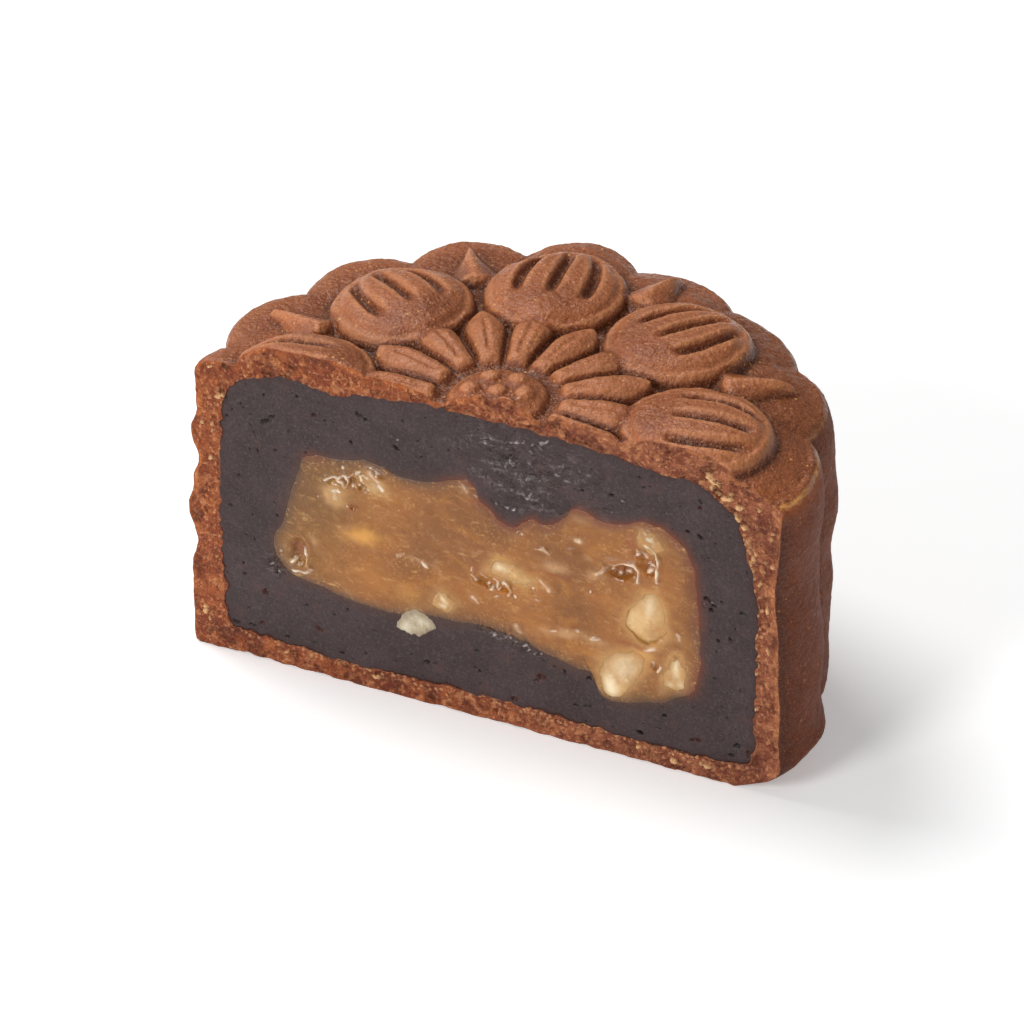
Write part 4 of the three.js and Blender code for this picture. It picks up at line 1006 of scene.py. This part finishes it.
# Smears that the knife left, sloping down to the right
smear_places = np.stack([core_x * 0.35 - core_z * 0.3, core_face[..., 1], core_z + 0.35 * core_x], -1)
smear = noise(smear_places, 0.55, 94, 2)
core_stand += 0.055 * np.clip(smear, -0.2, 1) * np.clip(0.4 + noise(core_face, 4.0, 95), 0, 1)
warp = 0.20 * noise(core_face, 1.0, 96, 2)
hollow_floor = 0.10 * noise(core_face, 0.6, 97, 2)
for *oval, depth in CORE_HOLLOWS:
    away = blob(core_face, *oval) + warp
    core_stand += (1 - smoothstep(away, 0.4, 1.0)) * (hollow_floor - depth)
    core_stand += 0.06 * hill(away - 1.15, 0.18)
    wet = np.maximum(wet, 1 - smoothstep(away, 0.9, 1.5))
lump_grain = 1 + 0.35 * noise(core_face, 0.6, 98, 2)
for *oval, height in CORE_LUMPS:
    core_stand += height * (1 - smoothstep(blob(core_face, *oval) + 0.6 * warp, 0.2, 1.25)) * lump_grain
crest_waver = 0.06 * noise(core_face, 0.5, 99)
crest_grain = 1 + 0.4 * noise(core_face, 0.45, 100)
crest_gleam = 0.95 + 0.6 * noise(core_face, 0.7, 101)
for path, half_width, height in CORE_CRESTS:
    away = (path_distance(core_face, path) + crest_waver) / half_width
    core_stand += height * hill(away) * crest_grain
    wet = np.maximum(wet, hill(away, 1.8))
    gleam = np.maximum(gleam, hill(away, 0.75) * np.clip(height / 0.20 * crest_gleam, 0, 1))
bubble_waver = 0.45 * noise(core_face, 0.28, 105)
for x, z, radius in CORE_BUBBLES:
    away = np.hypot(core_x - x, core_z - z) / radius + bubble_waver
    core_stand += 0.35 * radius * hill(away, 0.8) - 0.5 * radius * hill(away - 1.5, 0.4)
    wet = np.maximum(wet, hill(away, 1.6))
    gleam = np.maximum(gleam, 0.85 * hill(away, 0.65))
near_nut = np.zeros(core_face.shape[:-1])
nut_waver = 0.10 * noise(core_face, 0.5, 102)
for name, (outline, _, _) in NUTS.items():
    away = outline_distance(core_face, outline) + nut_waver
    outside = np.clip(away, 0, 9)
    near_nut = np.maximum(near_nut, np.exp(-(outside / 0.42) ** 1.3))
    if name in COVERED_NUTS:
        core_stand = mix(core_stand, 0.03, 0.85 * smoothstep(-away, -0.3, 0.3))
    else:
        core_stand = mix(core_stand, 0.0, 0.7 * hill(outside, 0.5))
        core_stand = mix(core_stand, -0.35, smoothstep(-away, 0.06, 0.55))
        wet = np.maximum(wet, 0.55 * hill(outside, 0.4))
core_edge = gap(core_flat, PASTE_CORE)
core_front = CUT_Y + 0.02 - np.clip(core_stand, -0.9, 0.30)
core_face[..., 1] = mix(paste_face[-1, :, 1], core_front, smoothstep(core_edge, 0.0, 1.1))
tint_waver = 0.25 * noise(core_face, 0.9, 103, 2)
olive = np.maximum(1 - smoothstep(core_x - 0.35 * core_z, -21, -13), tint(core_face, OLIVE, tint_waver))
core_marks = dict(wet=wet, edge=np.exp(-core_edge / 0.95), rim=np.exp(-(core_edge / 0.48) ** 1.2),
                  stain=stained * np.exp(-(core_edge / 0.55) ** 1.4), gleam=gleam, nut=near_nut, olive=olive,
                  golden=tint(core_face, GOLDEN_GLOWS, tint_waver),
                  caramel=tint(core_face, CARAMEL, tint_waver),
                  haze=tint(core_face, PALE_HAZE, 1.4 * tint_waver), deep=np.clip(-1.5 * core_stand, 0, 1))
core = Shell()
filled_face(core, core_face, PASTE_CORE, core_marks, CORE_REACH, CORE_RIM_DEPTH)
# The two sides of the spine meet
for half, flip in ((core_face[-1][:HALF_STEPS + 1], False), (left_half(core_face[-1]), True)):
    low, high = half[:HALF_STEPS // 2 + 1], half[:HALF_STEPS // 2 - 1:-1]
    core.grid(np.stack([low, high]), flip=flip)
core_piece = core.build("gel_core")


# Nut pieces: broken bodies between flat faces, which pass a little outside their outline on the cut
OUT_AT_CUT, OUT_IN_FRONT = 0.22, 0.16
FRONT_TILT = (1.4, 2.4)
MOST_STAND = 0.345
RAGGED_NUTS = ("nut_4", "nut_5", "nut_6")


def nut_faces(outline, middle, size, depth, stand, chance):
    """The flat faces of a nut piece: their directions, and a point on each."""
    faces = []
    for a, b in zip(outline, np.roll(outline, -1, axis=0)):
        out = unit(np.array([b[1] - a[1], a[0] - b[0]]))
        here = (a + b) / 2
        if (here - middle) @ out < 0:
            out = -out
        at_cut, before = here + OUT_AT_CUT * out, here + OUT_IN_FRONT * out
        faces.append(((out[0], 0, out[1]), (at_cut[0], CUT_Y, at_cut[1])))
        tilt = -chance.uniform(*FRONT_TILT)
        faces.append(((out[0], tilt, out[1]), (before[0], CUT_Y - 0.07, before[1])))
    first = chance.uniform(0, 2 * math.pi)
    for i in range(5):
        x, z = math.cos(first + 2.4 * i), math.sin(first + 2.4 * i)
        tilt = chance.uniform(0.10, 0.30)
        spot = middle + size * 0.30 * np.array([x, z])
        level = CUT_Y - max(stand, 0.09) * chance.uniform(0.6, 1.0)
        faces.append(((tilt * x, -1, tilt * z), (spot[0], level, spot[1])))
        faces.append(((0.9 * x, 1, 0.9 * z), (spot[0], CUT_Y + 0.9 * depth, spot[1])))
    return faces


def nut_shell(name, number):
    outline, depth, stand = NUTS[name]
    outline = np.array(outline)
    middle = outline.mean(0)
    size = np.linalg.norm(outline - middle, axis=1).mean()
    origin = np.array([middle[0], CUT_Y + 0.35 * depth, middle[1]])
    polar = np.linspace(0, math.pi, NUT_ROWS + 1)[:, None]
    turn = np.linspace(0, 2 * math.pi, NUT_AROUND, endpoint=False)[None]
    way = np.stack([np.sin(polar) * np.cos(turn), 0 * turn - np.cos(polar), np.sin(polar) * np.sin(turn)], -1)
    normals, reaches = [], []
    for normal, point in nut_faces(outline, middle, size, depth, stand, np.random.default_rng(60 + number)):
        normals.append(unit(np.array(normal, float)))
        reaches.append(max(float((np.array(point) - origin) @ normals[-1]), 0.15))
    steep = np.maximum(way @ np.array(normals).T / np.array(reaches), 1e-6)
    points = origin + way * ((steep ** 16).sum(-1) ** (-1 / 16))[..., None]
    grained = points + np.array([13.0 * number, 0, 5.0 * number])
    flake = cells(grained * [1.0, 0.7, 0.6], 0.75, 105)[2]
    ragged = 2.2 if name in RAGGED_NUTS else 1.0
    rough = (0.06 * noise(grained, 0.8, 107, 2) + 0.025 * ragged * noise(grained, 0.32, 108, 2)
             + 0.03 * ragged * (flake - 0.5))
    points = points + way * rough[..., None]
    points[..., 1] = np.maximum(points[..., 1], CUT_Y - MOST_STAND)
    points[0], points[-1] = points[0].mean(0), points[-1].mean(0)
    rim = smoothstep(outline_distance(points, outline), -min(0.7, 0.5 * size), 0.0)
    shell = Shell()
    shell.grid(points, flip=True, around=True, light=flake, rim=rim,
               front=1 - smoothstep(points[..., 1], CUT_Y, CUT_Y + 0.6),
               glow=tint(points, NUT_GLOWS, 0), amber=tint(points, NUT_AMBER, 0))
    return shell.build(name + "_chopped")


nut_pieces = {name: nut_shell(name, i) for i, name in enumerate(NUTS)}


# Materials
def to_linear(*srgb):
    """A colour given as 0 to 255 for a screen, as the numbers a shader takes."""
    share = [v / 255 for v in srgb]
    return tuple(v / 12.92 if v <= 0.04045 else ((v + 0.055) / 1.055) ** 2.4 for v in share) + (1.0,)


class Nodes:
    """Short ways to add and link shader nodes; scales are per millimetre and colours run from 0 to 255."""

    def __init__(self, name):
        self.material = bpy.data.materials.new(name)
        self.material.use_nodes = True
        self.tree = self.material.node_tree
        self.tree.nodes.clear()
        self.shader = self.add("ShaderNodeBsdfPrincipled")
        self.add("ShaderNodeOutputMaterial", self.shader.outputs[0])
        self.place = self.add("ShaderNodeTexCoord").outputs["Object"]

    def add(self, kind, *values, **settings):
        """A node with its settings, and values or links for its first sockets."""
        node = self.tree.nodes.new(kind)
        for key, value in settings.items():
            setattr(node, key, value)
        for value, socket in zip(values, node.inputs):
            self.feed(value, socket)
        return node

    def feed(self, value, target):
        if hasattr(value, "is_output"):
            self.tree.links.new(value, target)
        else:
            target.default_value = value

    def textured(self, kind, at, per_mm, **inputs):
        node = self.add(kind)
        self.feed(at or self.place, node.inputs["Vector"])
        for key, value in dict(inputs, Scale=per_mm * 1000).items():
            node.inputs[key].default_value = value
        return node

    def mark(self, name):
        return self.add("ShaderNodeAttribute", attribute_name=name).outputs["Fac"]

    def noise(self, per_mm, detail=3.0, roughness=0.55, distortion=0.0, at=None):
        return self.textured("ShaderNodeTexNoise", at, per_mm, Detail=detail, Roughness=roughness,
                             Distortion=distortion).outputs["Fac"]

    def cells(self, per_mm):
        return self.textured("ShaderNodeTexVoronoi", None, per_mm).outputs["Distance"]

    def stretched(self, x, y, z):
        """Places with each axis scaled, for streaked textures."""
        return self.add("ShaderNodeVectorMath", self.place, (x, y, z), operation="MULTIPLY").outputs[0]

    def span(self, value, low, high, to_low=0.0, to_high=1.0):
        """0 to 1, or from and to other numbers, as a value goes from low to high."""
        return self.add("ShaderNodeMapRange", value, low, high, to_low, to_high, clamp=True,
                        interpolation_type="SMOOTHSTEP").outputs[0]

    def maths(self, operation, a, b=0.0, c=0.0):
        return self.add("ShaderNodeMath", a, b, c, operation=operation).outputs[0]

    def times(self, a, b):
        return self.maths("MULTIPLY", a, b)

    def part(self, name, share):
        """A share of a mark."""
        return self.times(self.mark(name), share)

    def speckle(self, per_mm, detail, roughness, low, high, share):
        """Patches of noise, from none to a share."""
        return self.span(self.noise(per_mm, detail, roughness), low, high, 0.0, share)

    def dots(self, per_mm, outer, inner, spread, low, high, least, most):
        """Round specks, gathered in some places."""
        return self.times(self.span(self.cells(per_mm), outer, inner),
                          self.span(self.noise(spread, 2.0), low, high, least, most))

    def centred(self, height, middle):
        return self.maths("SUBTRACT", height, middle)

    def blend(self, share, *colours):
        node = self.add("ShaderNodeMix", data_type="RGBA", blend_type="MIX", clamp_factor=True)
        self.feed(share, node.inputs["Factor"])
        for colour, socket in zip(colours, node.inputs[6:8]):
            self.feed(to_linear(*colour) if isinstance(colour, tuple) else colour, socket)
        return node.outputs[2]

    def painted(self, colour, *layers):
        """Colours laid over one another, each with its share."""
        for share, tone in layers:
            colour = self.blend(share, colour, tone)
        return colour

    def bumps(self, *layers):
        """Heights laid over one another, each with its strength and its size in millimetres."""
        normal = None
        for height, strength, distance in layers:
            node = self.add("ShaderNodeBump")
            self.feed(height, node.inputs["Height"])
            self.feed(strength, node.inputs["Strength"])
            self.feed(distance / 1000, node.inputs["Distance"])
            if normal is not None:
                self.feed(normal, node.inputs["Normal"])
            normal = node.outputs[0]
        return normal

    def finish(self, colour, roughness, normal=None, **fixed):
        self.feed(colour, self.shader.inputs["Base Color"])
        self.feed(roughness, self.shader.inputs["Roughness"])
        if normal is not None:
            self.feed(normal, self.shader.inputs["Normal"])
        for key, value in fixed.items():
            self.shader.inputs[key.replace("_", " ")].default_value = value
        return self.material


def crust_material():
    n = Nodes("baked_crust")
    cut, hollow, crease, tan = (n.mark(name) for name in ("cut", "hollow", "crease", "tan"))
    side = n.span(n.mark("upward"), 0.6, 0.0, 0.0, 0.90)
    dim_side = n.maths("MULTIPLY_ADD", side, -0.75, 1.0)
    streak = n.span(n.noise(0.9, 4.0, 0.75, at=n.stretched(1, 1, 5)), 0.40, 0.62)
    # Outside: warm brown, with painted shade making it greyer and darker in the hollows, creases, lobe cusps
    # and on the wall, painted highlights making it paler on the ridges and along the rim, a painted glow
    # below the rim, and golden specks
    skin = n.painted(
        n.blend(n.span(n.noise(0.16, 3.0, 0.6), 0.36, 0.66), (127, 67, 40), (151, 83, 50)),
        (n.speckle(0.9, 4.0, 0.65, 0.42, 0.72, 0.40), (112, 60, 37)),
        # Painted highlights on the ridges and creases' crests, and painted shade in the hollows and creases
        # of the relief
        (n.span(hollow, 0.02, -0.45, 0.0, 0.55), (184, 110, 70)),
        (n.span(crease, 0.0, -0.14, 0.0, 0.55), (206, 136, 92)),
        (n.span(hollow, 0.05, 0.60, 0.0, 0.85), (84, 43, 29)),
        (n.span(crease, 0.03, 0.20, 0.0, 0.60), (72, 32, 19)),
        # Side wall darker brown: painted shade, partly the baked side's own darker colour
        (side, (107, 49, 25)),
        (n.times(n.speckle(0.45, 3.0, 0.6, 0.46, 0.64, 0.35), side), (132, 64, 34)),
        # Painted shade in the hollows between the lobes on the wall
        (n.times(n.span(n.mark("cusp"), 0.26, 0.0, 0.0, 0.6), side), (56, 30, 21)),
        # Painted glow below the rim, near the cut
        (n.part("warm", 0.85), (164, 84, 40)),
        # Painted highlight along the rim's edge, with a little rubbed wear
        (n.times(n.mark("worn"), n.maths("MULTIPLY_ADD", streak, 0.8, 0.25)), (246, 180, 104)),
        (n.part("shade", 0.40), (60, 28, 19)),
        (n.times(n.speckle(5.5, 2.0, 0.7, 0.42, 0.70, 0.42), dim_side), (206, 136, 88)),
        (n.speckle(4.2, 2.0, 0.7, 0.46, 0.28, 0.40), (82, 42, 26)),
        (n.times(n.dots(1.0, 0.15, 0.07, 0.5, 0.42, 0.60, 0.1, 0.8), dim_side), (228, 168, 98)),
        (n.times(n.dots(2.3, 0.26, 0.12, 0.6, 0.44, 0.64, 0.05, 0.65), dim_side), (226, 158, 100)),
        (n.times(n.dots(4.1, 0.20, 0.10, 0.8, 0.50, 0.66, 0.0, 0.55), dim_side), (240, 196, 152)))
    # Cut: crumbs from dark to light orange brown, with painted shade in the gaps between them, cream grains
    # by the paste, a lighter line outside
    crumbs = n.span(n.noise(0.8, 4.0, 0.65), 0.38, 0.62)
    strip = n.blend(tan, (188, 104, 50), (180, 114, 70))
    crumb_colour = n.painted(
        n.blend(tan, n.blend(crumbs, (128, 60, 33), (160, 86, 46)),
                n.blend(crumbs, (126, 65, 42), (160, 95, 64))),
        (n.part("brim", 0.62), strip),
        (n.speckle(3.0, 3.0, 0.65, 0.53, 0.67, 0.62), (216, 152, 106)),
        (n.speckle(1.7, 3.0, 0.65, 0.46, 0.34, 0.60), (104, 44, 28)),
        (n.speckle(2.8, 3.0, 0.7, 0.41, 0.31, 0.70), (74, 30, 17)),
        (n.span(n.mark("light"), 0.55, 0.88, 0.0, 0.42), (214, 146, 96)),
        # Painted shade: darker where the crumb surface sits back
        (n.span(n.mark("stand"), -0.03, -0.22, 0.0, 0.80), (84, 35, 20)),
        (n.part("lip", 0.45), (104, 47, 30)),
        (n.times(n.span(n.cells(2.3), 0.46, 0.24), n.part("grain", 0.8)), (214, 160, 112)),
        (n.part("brim", 0.18), strip),
        (n.part("cream", 0.85), (228, 178, 126)))
    rougher = n.maths("MULTIPLY_ADD", cut, 0.7, 1.0)
    lumpy = n.maths("MULTIPLY_ADD", cut, 1.5, 0.8)
    normal = n.bumps((n.times(n.centred(n.noise(1.3, 3.0, 0.7), 0.5), lumpy), 0.80, 0.20),
                     (n.times(n.centred(n.noise(3.0, 3.0, 0.65), 0.5), rougher), 0.80, 0.15),
                     (n.times(n.centred(n.cells(2.8), 0.35), rougher), 0.40, 0.09))
    matt = n.times(n.maths("MAXIMUM", side, cut), 0.42)
    roughness = n.maths("ADD", n.span(n.noise(1.2, 2.0), 0.3, 0.7, 0.25, 0.41), matt)
    return n.finish(n.blend(cut, skin, crumb_colour), roughness, normal, Subsurface_Weight=0.04,
                    Subsurface_Scale=0.0005, Subsurface_Radius=(1.0, 0.45, 0.25), Specular_IOR_Level=0.30)


def paste_material():
    n = Nodes("bean_paste")
    pucker = n.mark("pucker")
    folds = n.noise(0.9, 4.0, 0.7, 0.4, at=n.stretched(0.7, 1, 1.5))
    fold_line = n.span(n.maths("ABSOLUTE", n.centred(folds, 0.5)), 0.028, 0.0)
    patchy = n.times(pucker, n.span(n.noise(0.7, 3.0, 0.7), 0.44, 0.60))
    colour = n.painted(
        n.blend(n.span(n.noise(0.22, 3.0, 0.6), 0.35, 0.68), (54, 40, 40), (63, 48, 49)),
        (n.speckle(4.6, 2.0, 0.75, 0.48, 0.72, 0.50), (92, 78, 77)),
        (n.speckle(1.5, 3.0, 0.7, 0.50, 0.74, 0.35), (46, 34, 34)),
        (n.speckle(0.5, 2.0, 0.55, 0.56, 0.72, 0.40), (80, 55, 50)),
        (n.speckle(5.2, 3.0, 0.7, 0.42, 0.32, 0.80), (24, 16, 16)),
        # Painted sheen on the puckered patches, and painted glints along their folds
        (n.part("pucker", 0.25), (68, 53, 51)),
        (n.times(n.times(fold_line, patchy), 0.50), (176, 162, 158)),
        # Painted shade: the pits near black
        (n.mark("pit"), (22, 13, 12)),
        (n.part("red", 0.60), (84, 44, 35)),
        (n.part("rim", 0.55), (56, 33, 30)),
        (n.part("seep", 0.55), (84, 56, 42)),
        (n.part("stain", 0.85), (104, 50, 32)),
        (n.part("glint", 0.80), (206, 196, 192)))
    normal = n.bumps((n.times(fold_line, pucker), 0.7, 0.10), (n.noise(3.6, 3.0, 0.7), 0.45, 0.08),
                     (n.noise(9.0, 1.0, 0.5), 0.50, 0.05))
    roughness = n.span(n.noise(0.8, 3.0, 0.7), 0.34, 0.68, 0.36, 0.56)
    return n.finish(colour, n.maths("SUBTRACT", roughness, n.part("pucker", 0.20)), normal,
                    Specular_IOR_Level=0.24)


def core_material():
    n = Nodes("caramel_gel")
    cloud = n.noise(0.34, 4.0, 0.65, 0.9, at=n.stretched(0.8, 1, 1.2))
    streaks = n.noise(1.1, 4.0, 0.75, 0.5, at=n.stretched(0.6, 1, 1.6))
    frost = n.times(n.span(streaks, 0.56, 0.72), n.span(n.noise(0.25, 2.0), 0.40, 0.58, 0.15, 0.70))
    sandy = n.times(n.span(n.noise(4.0, 2.0, 0.7), 0.54, 0.72),
                    n.span(n.noise(0.4, 2.0), 0.40, 0.62, 0.05, 0.38))
    colour = n.painted(
        n.blend(n.span(n.noise(0.13, 2.0, 0.5, 0.6), 0.34, 0.68), (133, 79, 22), (157, 96, 31)),
        (n.span(cloud, 0.48, 0.70, 0.0, 0.55), (178, 115, 41)),
        (n.span(cloud, 0.46, 0.28, 0.0, 0.50), (120, 70, 25)),
        (n.part("olive", 0.60), (110, 77, 28)),
        (n.speckle(1.7, 3.0, 0.7, 0.52, 0.76, 0.30), (202, 148, 86)),
        (n.part("haze", 0.70), (208, 164, 116)),
        (n.mark("golden"), (206, 148, 66)),
        (n.part("caramel", 0.85), (136, 62, 18)),
        # Painted shade: darker where the gel lies sunken
        (n.part("deep", 0.20), (124, 74, 32)),
        (n.part("nut", 0.70), (188, 142, 84)),
        (n.part("edge", 0.60), (108, 72, 38)),
        (n.part("rim", 0.80), (82, 54, 36)),
        (n.part("stain", 0.70), (132, 66, 28)),
        (frost, (206, 158, 100)),
        (sandy, (220, 170, 106)),
        (n.part("gleam", 0.85), (242, 224, 202)))
    normal = n.bumps((n.noise(1.9, 3.0, 0.65), 0.22, 0.12), (n.noise(5.5, 2.0, 0.6), 0.20, 0.05))
    wet = n.span(n.mark("wet"), 0.15, 0.8, 0.0, 0.18)
    roughness = n.maths("SUBTRACT", n.span(n.noise(0.7, 3.0, 0.7), 0.34, 0.66, 0.24, 0.40), wet)
    return n.finish(colour, roughness, normal, Subsurface_Weight=0.50, Subsurface_Scale=0.0009,
                    Subsurface_Radius=(1.0, 0.50, 0.22), Specular_IOR_Level=0.42, IOR=1.45,
                    Coat_Weight=0.15, Coat_Roughness=0.12)


def nut_material(name, dark, light, glowing, edge=(184, 136, 78)):
    """Chopped nut: creamy, paler on its broken faces."""
    n = Nodes(name)
    tone = n.maths("ADD", n.noise(0.5, 3.0, 0.6), n.times(n.centred(n.mark("light"), 0.5), 0.06))
    colour = n.painted(
        n.blend(n.span(tone, 0.36, 0.66), dark, light),
        (n.speckle(2.0, 3.0, 0.7, 0.52, 0.75, 0.30), (240, 222, 184)),
        # Painted highlights on the nut pieces, pale patches on the covered ones
        (n.part("glow", 0.90), glowing),
        (n.part("amber", 0.80), (196, 124, 40)),
        (n.part("rim", 0.85), edge),
        (n.span(n.mark("front"), 0.70, 0.0, 0.0, 0.75), (182, 132, 74)))
    return n.finish(colour, n.span(n.noise(1.5, 2.0), 0.35, 0.65, 0.26, 0.44),
                    n.bumps((n.noise(2.6, 3.0, 0.6), 0.30, 0.10)), Subsurface_Weight=0.45,
                    Subsurface_Scale=0.0008, Subsurface_Radius=(1.0, 0.70, 0.40), Specular_IOR_Level=0.5)


def dress(piece, material, node):
    piece.data.materials.append(material)
    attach(piece, "root")
    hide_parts(node)


dress(crust_piece, crust_material(), "crust")
dress(paste_piece, paste_material(), "paste")
dress(core_piece, core_material(), "core")
cream_nut = nut_material("nut_cream", (184, 138, 82), (208, 166, 108), (244, 228, 192))
pale_nut = nut_material("nut_pale", (168, 152, 124), (200, 188, 158), (218, 210, 186), (150, 130, 104))
# Covered pieces show through a film of gel
covered_nut = nut_material("nut_in_gel", (174, 130, 80), (186, 146, 98), (226, 206, 176))
nut_looks = dict.fromkeys(COVERED_NUTS, covered_nut) | {"nut_4": pale_nut}
for name, piece in nut_pieces.items():
    dress(piece, nut_looks.get(name, cream_nut), name)

# Floor, lights and camera
floor_mesh = bpy.data.meshes.new("floor")
floor_mesh.from_pydata([(-3, -3, 0), (3, -3, 0), (3, 3, 0), (-3, 3, 0)], [], [(0, 1, 2, 3)])
floor = placed("floor", floor_mesh)
floor_nodes = Nodes("white_paper")
floor_mesh.materials.append(floor_nodes.finish((0.97, 0.97, 0.97, 1), 0.9, Specular_IOR_Level=0.1,
                                               Emission_Color=(1, 1, 1, 1), Emission_Strength=0.31))


def area_light(name, place, size, power):
    data = bpy.data.lights.new(name, "AREA")
    data.shape = "DISK"
    data.size = size
    data.energy = power
    light = placed(name, data)
    light.location = place
    aim = Vector((0, 0, 0.012)) - light.location
    light.rotation_euler = aim.to_track_quat("-Z", "Y").to_euler()


area_light("key_left", (-0.34, 0.10, 0.60), 0.36, 3.0)
area_light("fill_front_left", (-0.26, -0.66, 0.40), 0.30, 3.0)
area_light("glint_front", (-0.28, -0.66, 0.06), 0.14, 0.6)

world = bpy.data.worlds.new("studio")
world.use_nodes = True
background = world.node_tree.nodes["Background"]
background.inputs["Color"].default_value = (1, 1, 1, 1)
background.inputs["Strength"].default_value = 0.20
bpy.context.scene.world = world
bpy.context.scene.view_settings.view_transform = "Standard"

# The camera looks along the photo's direction, from afar; places in millimetres
AZIMUTH, ELEVATION = math.radians(25.205), math.radians(33.003)
DISTANCE, ASIDE, ABOVE, LENS = 450.0, 1.138, 15.306, 204.92
sin_turn, cos_turn = math.sin(AZIMUTH), math.cos(AZIMUTH)
sin_rise, cos_rise = math.sin(ELEVATION), math.cos(ELEVATION)
back = np.array([sin_turn * cos_rise, -cos_turn * cos_rise, sin_rise])
right = np.array([cos_turn, sin_turn, 0])
up = np.array([-sin_turn * sin_rise, cos_turn * sin_rise, cos_rise])
camera_data = bpy.data.cameras.new("camera")
camera_data.lens = LENS
camera_data.sensor_width = 36.0
camera_data.clip_start = 0.01
camera = placed("camera", camera_data)
place = to_frame(ASIDE * right + ABOVE * up + DISTANCE * back)
camera.matrix_world = Matrix.Translation(Vector(place)) @ Matrix((right, up, back)).transposed().to_4x4()
bpy.context.scene.camera = camera
